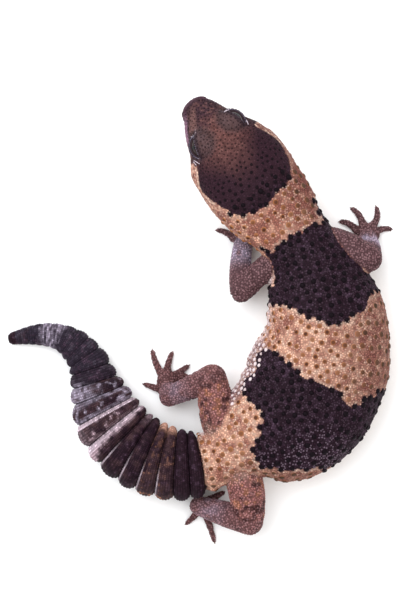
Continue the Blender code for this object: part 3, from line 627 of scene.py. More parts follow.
def refine(mesh, chosen):
    """Cuts the chosen faces into four."""
    bm = bmesh.new()
    bm.from_mesh(mesh)
    bm.faces.ensure_lookup_table()
    edges = {edge for i in np.flatnonzero(chosen) for edge in bm.faces[i].edges}
    bmesh.ops.subdivide_edges(bm, edges=list(edges), cuts=1, use_grid_fill=True)
    bm.to_mesh(mesh)
    bm.free()


def face_centres(mesh):
    flat = np.empty(len(mesh.polygons) * 3, np.float32)
    mesh.polygons.foreach_get("center", flat)
    return flat.reshape(-1, 3).astype(float) / MM


def feature_place(feature, sign):
    """Where a nostril or an ear lies on one side of the head."""
    s, side, height = feature
    return place(s, sign * side, height)[0]


def feature_distance(points):
    """Distance to the nearest eye, nostril or ear."""
    spots = [(centre, EYE_RADIUS + 1.6) for centre in EYE_CENTRES.values()]
    for sign in SIDES.values():
        spots.append((feature_place(NOSTRIL, sign), 1.5))
        spots.append((feature_place(EAR, sign), 2.6))
    return np.min([np.linalg.norm(points - centre, axis=1) - reach for centre, reach in spots], axis=0)


def slit_place(points, side):
    """How far outside the lids' opening points lie, and their direction from the eye's centre."""
    back, look, across = lid_axes(side)
    away = points - EYE_CENTRES[side]
    far = np.linalg.norm(away, axis=1)
    unit = away / far[:, None]
    turn = np.degrees(np.arcsin(np.clip(unit @ back, -1, 1)))
    height = np.degrees(np.arctan2(unit @ across, unit @ look))
    half_height = LID_OPENINGS[side][1]
    outside = np.hypot(height / half_height, turn / LID_HALF_LENGTH) - 1
    outside = np.where(unit @ look > 0, outside, 9)
    return outside * math.radians(half_height) * LID_RADIUS, far, unit


def press_eye(points, side):
    """Thickens the lids' edges, and turns the skin in between them."""
    outside, far, unit = slit_place(points, side)
    near = (far < LID_RADIUS + 1.2) & (outside < 2.5)
    lid = np.where(near, LID_RADIUS + 0.1 * np.exp(-((outside - 0.4) / 0.25) ** 2), far)
    lid = lid - np.where(near, 0.16 * np.exp(-((outside - 1.15) / 0.2) ** 2), 0)
    share = np.where(near, ease(2.5, 1.4, outside) * ease(LID_RADIUS + 1.2, LID_RADIUS + 0.5, far), 0)
    far = far + (lid - far) * share
    opened = ease(LID_WALL / 2, -LID_WALL / 2, outside) * near
    far = far + (EYE_SOCKET - far) * opened
    return np.where(near[:, None], EYE_CENTRES[side] + unit * far[:, None], points)


def press_face(mesh):
    """Presses in the mouth's line, the nostrils, the ears and the eyes, on a finer mesh near them."""
    centres = face_centres(mesh)
    refine(mesh, feature_distance(centres) < 0)
    points, normals = mesh_points(mesh), mesh_normals(mesh)
    head = np.flatnonzero(points[:, 1] > HEAD_FROM)
    where = Places(points[head])
    part, push = points[head], np.zeros(len(head))
    near = np.abs(where.height - where.middle)
    closed = (1 - ease(MOUTH_END - 4, MOUTH_END, where.s)) * (where.outside < 1.5)
    push += closed * ease(0.5, 6, where.s) * LIP_HEIGHT * np.exp(-((near - 0.8) / 0.5) ** 2)
    push -= closed * MOUTH_DEPTH * np.exp(-(near / 0.24) ** 2)
    for sign in SIDES.values():
        away = np.linalg.norm(part - feature_place(NOSTRIL, sign), axis=1)
        push += 0.05 * np.exp(-((away - 0.8) / 0.28) ** 2) - NOSTRIL_DEPTH * np.exp(-(away / 0.42) ** 4)
        reach = np.hypot((where.s - EAR[0]) / 0.8, (where.height - EAR[2]) / 1.5)
        push -= EAR_DEPTH * ease(1.2, 0.6, reach) * (where.side * sign > 8)
        push += EAR_RIM * np.exp(-((reach - 1.45) / 0.25) ** 2) * (where.side * sign > 8)
    part = part + normals[head] * push[:, None]
    for side in SIDES:
        part = press_eye(part, side)
    points[head] = part
    set_points(mesh, points)


press_face(skin.data)


# Creases
# Loose skin gathers where the body bends: short folds on the inner flank, behind the arm and before
# the thigh, fine ones round each elbow and knee, and a crease where each limb leaves the body.

# Start and end of each run of folds along the backbone, and the distance between its folds
FLANK_FOLDS = ((51.0, 66.0, 2.6), (82.0, 104.0, 2.9), (112.0, 124.0, 2.4))
FLANK_FOLD_DEPTH = 0.28
LIMB_CREASE_DEPTH = 0.22
ELBOW_FOLD_DEPTH = 0.14
LUMP_HEIGHT = 0.06


def noise(points, size, seed=0):
    """Smooth random values from -1 to 1 through space, in lumps about size across."""
    grid = points / size
    cell = np.floor(grid).astype(np.int64)
    t = grid - cell
    t = t * t * (3 - 2 * t)
    total = np.zeros(len(points))
    for corner in range(8):
        step = np.array([corner & 1, corner >> 1 & 1, corner >> 2])
        key = (cell + step) @ np.array([73856093, 19349663, 83492791]) + seed * 2654435
        key = (key ^ key >> 13) * 1274126177 & 0x7FFFFFFF
        value = (key ^ key >> 15 & 0xFFFF) % 65536 / 32767.5 - 1
        total += value * np.prod(np.where(step, t, 1 - t), axis=1)
    return total


def crease(mesh):
    """Pushes the skin in along its folds, with slight lumps all over."""
    points, normals = mesh_points(mesh), mesh_normals(mesh)
    where = Places(points)
    wander = where.s + 1.1 * noise(points, 5.0, 11)
    folds = np.zeros(len(points))
    for start, end, pitch in FLANK_FOLDS:
        window = ease(start, start + 3, where.s) * ease(end, end - 3, where.s)
        folds += window * (0.5 + 0.5 * np.cos(2 * np.pi * wander / pitch)) ** 3
    inner = ease(140, 168, where.round) * ease(235, 205, where.round)
    push = -FLANK_FOLD_DEPTH * folds * inner
    groove = np.exp(-((where.outside - where.limb_gap) / 0.5) ** 2)
    groove *= ease(1.6, 0.3, np.abs(where.outside) + np.abs(where.limb_gap)) * (where.limb_share < 0.9)
    push -= LIMB_CREASE_DEPTH * groove
    bend = np.exp(-((where.limb_share - 0.82) / 0.16) ** 2) * where.limb
    turns = 12 * where.limb_share + 0.4 * noise(points, 3.0, 13)
    push -= ELBOW_FOLD_DEPTH * bend * (0.5 + 0.5 * np.cos(2 * np.pi * turns)) ** 3
    lumps = LUMP_HEIGHT * noise(points, 3.2, 12) * (where.limb_share < 2)
    points = points + normals * (push + lumps)[:, None]
    points[:, 2] = np.maximum(points[:, 2], FLOOR_CLEAR)
    set_points(mesh, points)


crease(skin.data)
skin_points, skin_normals = mesh_points(skin.data), mesh_normals(skin.data)
skin_places = Places(skin_points)
skin_tree = BVHTree.FromPolygons(
    [tuple(p) for p in skin_points], [tuple(face.vertices) for face in skin.data.polygons]
)
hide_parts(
    "head", "neck", "chest", "belly", "hips", "tail_base", "tail_middle", "tail_tip",
    "upper_arm_left", "forearm_left", "hand_left", "upper_arm_right", "forearm_right", "hand_right",
    "thigh_left", "shank_left", "foot_left", "thigh_right", "shank_right", "foot_right",
)
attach(skin, "root")


# The markings
# Three blackish saddles with ragged edges cross a peach-tan back: one on the head, one on the shoulders
# and one over the loins. The tail is ringed in black and lilac white, and the legs are purplish brown.

SADDLE_LOW = 2.6  # how far below the widest level the back's saddles reach
CAP_LOW = 4.0  # and the head's
# Corners of each saddle's edge seen from above, going round it
HEAD_CAP = np.array((
    (-12.0, 44.0), (-3.2, 42.6), (-1.3, 41.0), (-0.9, 39.0), (-0.6, 36.3), (0.6, 34.0), (2.5, 32.2),
    (6.3, 29.6), (9.2, 28.1), (11.1, 28.3), (14.7, 28.9), (15.5, 30.2), (17.4, 31.3), (19.4, 32.8),
    (19.6, 34.4), (21.3, 35.4), (22.7, 36.6), (23.6, 39.0), (23.7, 41.4), (23.0, 43.8), (21.3, 46.8),
    (19.8, 48.7), (17.9, 50.1), (15.3, 51.3), (14.0, 52.2), (22.0, 60.0), (12.0, 74.0), (-14.0, 74.0),
))
SHOULDER_BAND = np.array((
    (16.1, 19.7), (17.8, 17.9), (19.1, 18.1), (20.6, 20.1), (22.4, 21.1), (24.5, 22.8), (26.6, 22.9),
    (28.4, 25.0), (29.6, 25.9), (32.3, 25.5), (33.2, 25.1), (32.8, 27.0), (31.5, 29.4), (30.4, 32.2),
    (31.6, 33.0), (35.0, 26.6), (36.4, 23.0), (38.0, 20.3), (39.8, 18.0), (41.6, 15.4), (44.2, 12.9),
    (52.0, 12.0), (52.0, 8.0), (47.5, 8.1), (44.6, 7.7), (44.1, 5.6), (43.1, 2.6), (41.0, 2.2),
    (39.0, 1.2), (37.4, 0.2), (35.1, -0.8), (32.3, -0.3), (29.7, 1.2), (27.6, 1.1), (26.6, 2.2),
    (24.5, 3.3), (22.2, 4.6), (19.3, 4.5), (15.0, 4.8), (15.0, 8.2), (19.2, 9.2), (19.6, 10.8),
    (19.5, 13.4), (18.4, 16.4), (16.9, 18.3),
))
LOIN_BAND = np.array((
    (16.4, -7.4), (18.5, -7.8), (20.1, -9.3), (22.9, -11.4), (25.7, -13.8), (27.7, -15.5), (30.5, -15.9),
    (32.9, -17.2), (36.0, -18.6), (37.4, -21.0), (39.4, -22.8), (42.5, -22.1), (43.5, -20.4), (46.4, -20.0),
    (48.0, -18.7), (58.0, -16.0), (58.0, -50.0), (40.0, -43.0), (35.0, -39.0), (32.9, -40.0),
    (31.1, -39.0), (27.7, -39.9), (25.7, -39.3), (22.6, -40.1), (20.1, -39.0), (16.0, -39.0),
    (14.3, -36.2), (13.3, -33.8), (14.6, -32.1), (16.0, -30.4), (15.0, -27.3), (17.0, -27.0),
    (15.3, -24.9), (16.4, -24.2), (14.6, -22.5), (12.6, -20.8), (10.2, -17.7), (11.6, -15.6),
    (14.6, -13.2), (14.3, -11.1), (15.0, -8.4),
))


def srgb(red, green, blue):
    share = np.array((red, green, blue)) / 255
    return np.where(share <= 0.04045, share / 12.92, ((share + 0.055) / 1.055) ** 2.4)


def blend(colours, other, share):
    """Takes one colour, or one for each point, the given share of the way to another."""
    return colours + (other - colours) * np.asarray(share)[:, None]


def depth_inside(plan, corners):
    """Distance in from the edge of a closed outline, negative outside it."""
    inside = np.zeros(len(plan), bool)
    nearest = np.full(len(plan), 1e9)
    for a, b in zip(corners, np.roll(corners, -1, axis=0)):
        step = b - a
        u = np.clip((plan - a) @ step / step.dot(step), 0, 1)
        nearest = np.minimum(nearest, np.linalg.norm(plan - a - u[:, None] * step, axis=1))
        if a[1] != b[1]:
            crosses = (a[1] > plan[:, 1]) != (b[1] > plan[:, 1])
            inside ^= crosses & (plan[:, 0] < a[0] + (plan[:, 1] - a[1]) / (b[1] - a[1]) * step[0])
    return np.where(inside, nearest, -nearest)


def saddle_depth(where):
    """Depth inside the two saddles on the back and inside the head's, and how far below the widest level."""
    plan = where.points[:, :2] + ORIGIN
    head = depth_inside(plan, HEAD_CAP)
    back = np.maximum(depth_inside(plan, SHOULDER_BAND), depth_inside(plan, LOIN_BAND))
    low = where.middle - where.height
    ragged = 0.3 * noise(where.points, 1.5, 21)
    back = np.minimum(back, SADDLE_LOW - low) + ragged
    front = ease(16, 12, where.s) * 9
    head = np.minimum(head + ragged * 0.6, front + CAP_LOW - low)
    return back - 20 * ease(0.4, 0.9, where.limb), head, low


def darkness(where):
    """Depth inside any of the three saddles."""
    return np.maximum(*saddle_depth(where)[:2])


TAN = srgb(218, 170, 146)
TAN_DEEP = srgb(154, 100, 86)
MAUVE = srgb(122, 78, 72)
ROSY_TINT_AND_SHADE = srgb(106, 62, 58)
CREAM = srgb(214, 186, 168)
WHITE = srgb(214, 198, 200)
BLACK = srgb(37, 21, 31)
BLACK_GLINT = srgb(74, 54, 70)
CROWN = srgb(102, 66, 63)
SNOUT = srgb(64, 43, 50)
# a painted lilac highlight on the wrists
WRIST_HIGHLIGHT = srgb(176, 162, 184)
OCHRE = srgb(176, 116, 68)
UMBER = srgb(70, 40, 32)
EYELID = srgb(88, 70, 72)
LIMB = srgb(106, 76, 80)
THIGH = srgb(148, 98, 94)
TAIL_PINK = srgb(176, 150, 160)
TAIL_BLUE = srgb(146, 140, 160)
TAIL_WHITE = srgb(228, 208, 220)
TAIL_BROWN = srgb(70, 49, 52)
TAIL_TAN_DEEP = srgb(156, 108, 86)
TAIL_TAN = srgb(206, 158, 138)
TAIL_BLACK = srgb(40, 33, 45)
LEG_SHADE = srgb(70, 46, 48)
THIGH_SPOT = srgb(56, 32, 34)
FOOT_BROWN = srgb(92, 62, 62)
CROWN_FLECK = srgb(124, 86, 80)
STREAK_BROWN = srgb(130, 94, 88)
LIP_BROWN = srgb(84, 58, 70)
LIP_LILAC = srgb(146, 110, 130)
LIP_EDGE = srgb(52, 36, 44)
EYE_CORNER = srgb(214, 190, 196)
LID_MARGIN = srgb(46, 36, 44)
CHEEK_TINT_AND_SHADE = srgb(112, 74, 68)
FLANK_BROWN = srgb(124, 92, 98)
CAP_BROWN = srgb(56, 34, 42)
MOUTH_LINE = srgb(38, 22, 28)
# The fine rings near the tail's tip fade in and out of a pale band: its start and its end
PALE_BAND = ((182.2, 183.4), (188.4, 187.2))
# The ends of a brown streak along the snout's left side, seen from above
STREAK = np.array(((-2.7, 56.2), (-2.2, 50.6)))


def near_line(plan, ends):
    """Distance from a straight line between two ends, seen from above."""
    step = ends[1] - ends[0]
    u = np.clip((plan - ends[0]) @ step / step.dot(step), 0, 1)
    return np.linalg.norm(plan - ends[0] - u[:, None] * step, axis=1)


def tail_colours(where, colours, patches, fine):
    """Black rings, counted from 0 behind the vent, with patches that differ from ring to ring.

    Rings 2 and 3 are tan at their ends, 5 to 10 have pale patches, whitest at the back of ring 6, and
    those from 2 to 9 and from 17 on are mottled with brown.
    """
    ring, t = ring_place(where.ring)
    outer = ease(75, 15, np.abs(where.round))
    inner = ease(125, 172, where.round) * ease(235, 205, where.round)
    blotch = patches + 0.5 * fine
    spots = ease(0.1, 0.5, noise(where.points, 1.15, 6))
    mottle = noise(where.points, 0.8, 7)
    ends = ease(138, 166, where.round) * (0.3 + 0.7 * ease(212, 184, where.round))
    ends = ends * ease(-1.1, 0.1, mottle + 0.5 * fine)
    ends = np.maximum(ends, ease(34, 20, where.round) * ease(-0.4, 0.6, mottle + fine))
    brown = np.select(
        [(ring == 2) | (ring == 3), (ring == 4) | (ring == 5), (ring >= 6) & (ring <= 9), ring >= 17],
        [0.5 + 0.6 * blotch, 0.15 + 0.6 * blotch, 0.4 + 0.6 * blotch, 0.1 + 0.3 * blotch], 0.05,
    )
    tan = ends * (1.1 + 0.6 * blotch) + 0.35 * ease(0.2, 0.7, mottle) * (1 - inner)
    tan = np.where((ring == 2) | (ring == 3), tan, 0)
    edge = np.maximum(ease(0.66, 0.92, t), ease(0.3, 0.06, t))
    pale = np.select(
        [ring == 5, ring == 6, ring == 7, ring == 8, ring == 9, ring == 10],
        [
            0.35 * inner + 0.25 * inner * spots,
            ease(0.4, 0.72, t + 0.35 * outer + 0.15 * patches) * (0.7 + 0.3 * outer),
            np.max([0.95 * ease(0.7, 0.9, t), 0.35 * outer, 0.55 * spots, 0.35 * edge], axis=0),
            np.max([0.85 * edge, 0.75 * outer * ease(0.45, 0.7, t), 0.65 * spots], axis=0),
            np.maximum(0.85 * ease(105, 60, where.round + 12 * patches), 0.7 * spots),
            0.6 * ease(0.3, 0.05, t + 0.15 * patches) * ease(100, 40, where.round),
        ],
        0.0,
    )
    starts, ends_at = PALE_BAND
    band = ease(*starts, where.ring + 0.9 * patches) * ease(*ends_at, where.ring + 1.1 * patches)
    wave = ease(-0.2, 0.8, np.cos(2 * np.pi * (where.ring + 0.5 * patches) / 1.1))
    pale = np.maximum(pale, band * (0.25 + 0.6 * wave + 0.3 * fine))
    # The small share added from ring 10 on is a painted bluish highlight on the black.
    pale = pale * (0.85 + 0.9 * mottle) + 0.08 * (ring >= 10) * ease(0.1, 0.6, mottle)
    white = np.where(ring == 6, ease(0.55, 0.8, t + 0.1 * patches) * (0.5 + 0.5 * outer), 0)
    white = np.where((ring == 7) & (t > 0.8), 0.6, white) * (0.85 + 0.4 * mottle)
    blueness = 0.75 * ease(7, 8, ring)
    black = blend(BLACK, TAIL_BLACK, ease(8, 11, ring))
    black = blend(black, BLACK_GLINT, 0.65 * ease(0.1, 0.8, fine))
    tail = blend(black, TAIL_BROWN, np.clip(brown, 0, 1))
    peach = blend(TAIL_TAN_DEEP, TAIL_TAN, ease(130, 165, where.round))
    tail = blend(tail, peach, np.clip(tan, 0, 1) * 0.75)
    tail = blend(tail, blend(TAIL_PINK, TAIL_BLUE, blueness), np.clip(pale, 0, 1))
    tail = blend(tail, TAIL_WHITE, np.clip(white, 0, 1))
    # Painted shade, partly the skin's own darker colour, darkens the grooves between the rings.
    tail = blend(tail, tail * 0.45, ease(0.35, 0.9, ring_notch(where.ring) / RING_DEPTH))
    line = (np.abs(t - 0.93) < 0.05) & (ring >= 2) & (ring <= 5)
    tail = blend(tail, TAIL_WHITE, 0.45 * line * ease(95, 55, np.abs(where.round)))
    start = VENT - 0.2 + 0.4 * patches
    return blend(colours, tail, ease(start - 0.12, start + 0.12, where.ring) * (1 - where.limb))


def leg_colours(where, patches, fine):
    """Purplish brown legs with a painted lilac highlight on the wrists, and spotted, rosier thighs that are
    tan at the root.
    """
    hind = where.limb_name >= 2
    upper = ease(1.05, 0.85, where.limb_share)
    legs = blend(LIMB, THIGH, hind * (0.35 + 0.65 * upper))
    legs = blend(legs, LEG_SHADE, 0.5 * ease(0.15, 0.6, patches + 0.4 * fine))
    spots = noise(where.points, 1.2, 9)
    legs = blend(legs, THIGH_SPOT, 0.85 * hind * upper * ease(0.15, 0.45, spots))
    legs = blend(legs, OCHRE, 0.4 * hind * upper * ease(0.2, 0.5, -spots))
    # A painted lilac highlight lies on the upper side of each wrist.
    centre = np.array((1.84, 1.6, 1.75, 1.75))[where.limb_name]
    wrist = np.exp(-((where.limb_share - centre) / 0.24) ** 2) * ease(0.1, 1.4, where.points[:, 2] - 2.2)
    lilac = wrist * np.array((0.9, 0.9, 0.3, 0.4))[where.limb_name] * ease(-0.9, 0.2, patches)
    legs = blend(legs, WRIST_HIGHLIGHT, lilac)
    root = hind * ease(0.42, 0.12, where.limb_share + 0.1 * patches)
    legs = blend(legs, blend(TAN_DEEP, CREAM, 0.6 + 0.4 * fine), 0.8 * root)
    return blend(legs, FOOT_BROWN, 0.7 * ease(2.1, 2.3, where.limb_share))


def beaded_flank(where):
    """The inner flank before the thigh, where white beads stand on purplish brown skin."""
    return ease(136, 150, where.round) * ease(78, 84, where.s) * ease(115, 110, where.s) * (where.limb < 0.5)


def face_colours(where, patches, fine):
    """The head's cap: brown crown, greyer snout and lids, lilac lips and white corners of the eyes."""
    plan = where.points[:, :2] + ORIGIN
    face = blend(SNOUT, CROWN, ease(5, 12, where.s + 2 * patches))
    face = blend(face, face * 0.55, 0.8 * ease(-0.1, 0.6, fine))
    face = blend(face, CROWN_FLECK, 0.45 * ease(0.1, 0.7, -fine))
    face = blend(face, STREAK_BROWN, 0.55 * ease(1.5, 0.4, near_line(plan, STREAK)))
    for side, centre in EYE_CENTRES.items():
        away = np.linalg.norm(where.points - centre, axis=1)
        face = blend(face, EYELID * (0.85 + 0.4 * fine[:, None]), 0.75 * ease(6.0, 4.0, away))
        # Painted shade darkens the crease round each lid.
        face = blend(face, face * 0.5, 0.6 * np.exp(-((away - LID_RADIUS - 0.55) / 0.4) ** 2))
    up = where.height - where.middle
    lip = ease(13, 8, where.s) * ease(3.0, 2.4, up) * ease(-4, -3, up)
    face = blend(face, LIP_BROWN, 0.7 * lip)
    lip *= ease(0.0, -5.0, where.side) * ease(1.0, 6.0, where.s)
    face = blend(face, LIP_LILAC, 0.85 * lip)
    line = np.exp(-((up - 3.3) / 0.35) ** 2) * ease(13, 9, where.s)
    line = line * ease(0.5, 2.0, where.s) * (where.side < 0)
    face = blend(face, LIP_EDGE, 0.75 * line)
    for side in SIDES:
        outside, far, unit = slit_place(where.points, side)
        back, look, across = lid_axes(side)
        turn = np.degrees(np.arcsin(np.clip(unit @ back, -1, 1)))
        height = np.degrees(np.arctan2(unit @ across, unit @ look))
        corner = np.exp(-((np.abs(turn) - LID_HALF_LENGTH - 8) / 11) ** 2 - (height / 8) ** 2)
        corner *= (far < LID_RADIUS + 1.0) * (unit @ look > 0)
        face = blend(face, EYE_CORNER, 0.9 * corner)
        margin = ease(1.5, 0.7, outside) * (far < LID_RADIUS + 0.8) * (1 - corner)
        face = blend(face, LID_MARGIN, 0.75 * margin)
    return face


def hide_colours(where, border_scales=None):
    """The hide's colour at each point, as linear RGB. The border scales scallop the saddles' edges."""
    broad = noise(where.points, 4.5, 1)
    patches = noise(where.points, 1.7, 2)
    fine = noise(where.points, 0.7, 3)
    nape = ease(64, 50, where.s)
    colours = blend(TAN, TAN_DEEP, ease(-0.7, 0.9, patches + 0.4 * broad + 0.6 * nape))
    colours = blend(colours, MAUVE, 0.5 * ease(0.1, 0.75, fine + 0.2 * patches))
    colours = blend(colours, CREAM, 0.6 * ease(0.15, 0.7, -fine - 0.3 * broad - 0.3 * nape))
    speck = noise(where.points, 0.5, 8)
    cheek = ease(34, 26, where.s) * ease(10, 14, where.s)
    # Painted shade, partly the skin's own tint, darkens the right cheek.
    colours = blend(colours, CHEEK_TINT_AND_SHADE, 0.75 * cheek * (where.side > 0))
    colours = blend(colours, CREAM, 0.55 * cheek * ease(-0.1, 0.4, speck))
    colours = blend(colours, MAUVE * 0.6, 0.8 * cheek * ease(0.1, 0.4, -speck))
    # Painted shade, partly the skin's own rosier tint, darkens the right flank.
    right = ease(106, 46, where.round) * ease(20, 34, where.s) * ease(122, 108, where.s)
    colours = blend(colours, ROSY_TINT_AND_SHADE, 0.78 * right * (0.85 + 0.4 * fine))
    back, head, low = saddle_depth(where)
    colours = blend(colours, WHITE, 0.85 * ease(150, 172, where.round + 4 * patches) * ease(51, 56, where.s))
    colours = blend(colours, FLANK_BROWN, 0.85 * beaded_flank(where))
    colours = blend(colours, CREAM, ease(0.8, 3.4, low + 0.8 * patches))
    colours = blend(colours, leg_colours(where, patches, fine), where.limb)
    colours = tail_colours(where, colours, patches, fine)
    dark = np.maximum(back, head)
    if border_scales is not None:
        near = np.flatnonzero(np.abs(dark) < 2.0)
        for i in near:
            _, _, gap = border_scales.find(where.points[i])
            dark[i] = max(dark[i], 0.95 - gap)
    rim = np.exp(-((dark + 0.35) / 0.28) ** 2) * (where.limb < 0.4) * (low < 2)
    colours = blend(colours, CREAM, 0.6 * rim * ease(-0.3, 0.4, patches))
    glint = (0.4 + 0.35 * ease(-0.2, 0.6, broad)) * ease(20, 40, where.s)
    black = blend(BLACK, BLACK_GLINT, glint * ease(0.0, 0.7, fine))
    lateral = np.maximum(np.abs(where.side + 1.0) - 2.5, 0)
    black = blend(black, CAP_BROWN, 0.5 * ease(36, 30, where.s) * (head > back))
    crown = ease(29, 13, where.s + 1.3 * lateral * ease(9, 15, where.s)) * (head > back)
    black = blend(black, face_colours(where, patches, fine), crown)
    colours = blend(colours, black, ease(-0.06, 0.06, dark))
    throat = ease(1.6, 2.8, low + 0.4 * patches) * (where.s < 52) * (1 - where.limb)
    colours = blend(colours, CREAM, throat)
    mouth = np.exp(-((where.height - where.middle) / 0.3) ** 2) * ease(MOUTH_END, MOUTH_END - 1, where.s)
    return blend(colours, MOUTH_LINE, 0.85 * mouth * (where.limb_gap > 3))


# The hide's material
# The hide is dry, finely grained skin with a faint sheen. Its colour lies on each mesh, and the group
# adds fine light and dark flecks to it and gives the height of the finest grain.

GRAIN_CELLS = 3200  # cells and flecks to a metre
GRAIN_FLECKS = 1500
FLECK_RANGE = (0.78, 1.22)
GRAIN_DEPTH = 0.08 * MM


def hide_group():
    group = bpy.data.node_groups.new("gecko grain", "ShaderNodeTree")
    group.interface.new_socket("Colour", in_out="INPUT", socket_type="NodeSocketColor")
    group.interface.new_socket("Colour", in_out="OUTPUT", socket_type="NodeSocketColor")
    group.interface.new_socket("Height", in_out="OUTPUT", socket_type="NodeSocketFloat")
    nodes, links = group.nodes, group.links
    inputs = nodes.new("NodeGroupInput")
    outputs = nodes.new("NodeGroupOutput")
    where = nodes.new("ShaderNodeTexCoord")
    cells = nodes.new("ShaderNodeTexVoronoi")
    cells.inputs["Scale"].default_value = GRAIN_CELLS
    grain = nodes.new("ShaderNodeTexNoise")
    grain.inputs["Scale"].default_value = GRAIN_FLECKS
    grain.inputs["Detail"].default_value = 3
    links.new(where.outputs["Object"], cells.inputs["Vector"])
    links.new(where.outputs["Object"], grain.inputs["Vector"])
    shade = nodes.new("ShaderNodeMapRange")
    shade.inputs["To Min"].default_value, shade.inputs["To Max"].default_value = FLECK_RANGE
    links.new(grain.outputs["Fac"], shade.inputs["Value"])
    tint = nodes.new("ShaderNodeVectorMath")
    tint.operation = "SCALE"
    links.new(inputs.outputs["Colour"], tint.inputs["Vector"])
    links.new(shade.outputs["Result"], tint.inputs["Scale"])
    links.new(tint.outputs["Vector"], outputs.inputs["Colour"])
    height = nodes.new("ShaderNodeMath")
    height.operation = "MULTIPLY_ADD"
    height.inputs[1].default_value = -1.0
    links.new(cells.outputs["Distance"], height.inputs[0])
    links.new(grain.outputs["Fac"], height.inputs[2])
    links.new(height.outputs["Value"], outputs.inputs["Height"])
    return group


def hide_material():
    material = bpy.data.materials.new("gecko hide")
    material.use_nodes = True
    nodes, links = material.node_tree.nodes, material.node_tree.links
    shader = nodes["Principled BSDF"]
    shader.inputs["Roughness"].default_value = 0.55
    shader.inputs["Specular IOR Level"].default_value = 0.06
    painted = nodes.new("ShaderNodeAttribute")
    painted.attribute_name = "hide"
    grain = nodes.new("ShaderNodeGroup")
    grain.node_tree = hide_group()
    bump = nodes.new("ShaderNodeBump")
    bump.inputs["Strength"].default_value = 0.5
    bump.inputs["Distance"].default_value = GRAIN_DEPTH
    links.new(painted.outputs["Color"], grain.inputs["Colour"])
    links.new(grain.outputs["Colour"], shader.inputs["Base Color"])
    links.new(grain.outputs["Height"], bump.inputs["Height"])
    links.new(bump.outputs["Normal"], shader.inputs["Normal"])
    return material


HIDE = hide_material()
skin.data.materials.append(HIDE)
skin.data.polygons.foreach_set("use_smooth", np.ones(len(skin.data.polygons), bool))


# The raised scales
# Rows of round, blunt tubercles stand on the back, each dark brown with an ochre foot on the tan hide
# and black on the saddles, where they scallop the edges. Each is a closed dome rooted in the skin.

random = np.random.default_rng(12)
TUBERCLE_ROWS = (31.0, 126.5)  # where the first and the last row may lie along the back
ROW_TURNS = np.linspace(-14, 194, 37)  # a row's reach round the body, and where its length is measured
TUBERCLE_PITCH = 2.75
TUBERCLE_RADIUS = 0.72
TUBERCLE_HEIGHT = 0.42
TUBERCLE_SPACING = 1.75  # the least distance between two of them
BORDER_WIDTH = 1.15  # tubercles this near a saddle's edge are drawn onto it
OLIVE = srgb(62, 46, 36)  # the right flank's tubercles
INK = srgb(16, 8, 14)  # those on the saddles
CROWN_DOT = srgb(20, 10, 16)
BEAD_SPACING = 1.35
BEAD_RADIUS = 0.6
# Shares of a dome's radius and height at its rings of points, from the foot up
ROUND_PROFILE = ((1.0, -0.35), (0.94, 0.15), (0.76, 0.58), (0.44, 0.9))
SCALE_FLOOR = 0.01  # no point of a scale lies lower than this above the floor
MAP_PATCH = 0.0015  # half the width of the largest scale's patch of the bake map


def tree_of(points):
    tree = KDTree(len(points))
    for index, point in enumerate(points):
        tree.insert(point, index)
    tree.balance()
    return tree


def spread(points, spacing):
    """Picks points, in random order, that lie at least their own spacing from those picked before."""
    tree = tree_of(points)
    taken = np.zeros(len(points), bool)
    picked = []
    for i in random.permutation(len(points)):
        if not taken[i]:
            picked.append(i)
            for _, j, _ in tree.find_range(points[i], spacing[i]):
                taken[j] = True
    return np.array(picked)


def back_rows():
    """Roots on the skin's rows of tubercles, staggered from row to row."""
    spots = []
    for row, s in enumerate(np.arange(*TUBERCLE_ROWS, TUBERCLE_PITCH * 0.87)):
        line = outline(np.full(len(ROW_TURNS), s), ROW_TURNS)
        arc = np.concatenate([[0], np.cumsum(np.linalg.norm(np.diff(line, axis=0), axis=1))])
        across = np.arange((row % 2) * TUBERCLE_PITCH / 2 + 0.4, arc[-1], TUBERCLE_PITCH)
        across = across + random.uniform(-0.4, 0.4, len(across))
        for angle in np.interp(across, arc, ROW_TURNS):
            spots.append((s + random.uniform(-0.45, 0.45), angle))
    spots = np.array(spots)
    points = outline(spots[:, 0], spots[:, 1])
    return points[spread(points, np.full(len(points), TUBERCLE_SPACING))]


def settle(points):
    """The nearest places on the skin, and its direction there."""
    found = [skin_tree.find_nearest(tuple(point)) for point in points]
    return np.array([hit[0] for hit in found]), np.array([hit[1] for hit in found])


def to_border(points):
    """Draws the roots near a saddle's edge onto it."""
    moved = points.copy()
    depth = darkness(Places(points))
    slope = np.zeros((len(points), 3))
    for axis in (0, 1):
        step = np.zeros(3)
        step[axis] = 0.2
        slope[:, axis] = darkness(Places(points + step)) - depth
    slope /= np.maximum(np.linalg.norm(slope, axis=1), 0.05)[:, None]
    near = np.abs(depth) < BORDER_WIDTH
    moved[near] -= slope[near] * (depth[near, None] - 0.1) * 0.85
    return moved


def fast_mesh(name, points, triangles, colours):
    """A smooth mesh of triangles with a colour at each point, flattened where it meets the floor."""
    points = np.column_stack([points[:, :2], np.maximum(points[:, 2], SCALE_FLOOR)])
    mesh = bpy.data.meshes.new(name)
    mesh.vertices.add(len(points))
    mesh.vertices.foreach_set("co", (points * MM).astype(np.float32).reshape(-1))
    mesh.loops.add(len(triangles) * 3)
    mesh.loops.foreach_set("vertex_index", triangles.astype(np.int32).reshape(-1))
    mesh.polygons.add(len(triangles))
    mesh.polygons.foreach_set("loop_start", np.arange(0, len(triangles) * 3, 3, dtype=np.int32))
    mesh.update(calc_edges=True)
    mesh.polygons.foreach_set("use_smooth", np.ones(len(triangles), bool))
    set_colours(mesh, colours)
    mesh.materials.append(HIDE)
    obj = bpy.data.objects.new(name, mesh)
    bpy.context.scene.collection.objects.link(obj)
    return obj


def set_colours(mesh, colours):
    """Puts linear RGB colours on the mesh, where the hide's material reads them."""
    layer = mesh.color_attributes.new("hide", "FLOAT_COLOR", "POINT")
    rgba = np.column_stack([np.clip(colours, 0, 1), np.ones(len(colours))]).astype(np.float32)
    layer.data.foreach_set("color", rgba.reshape(-1))


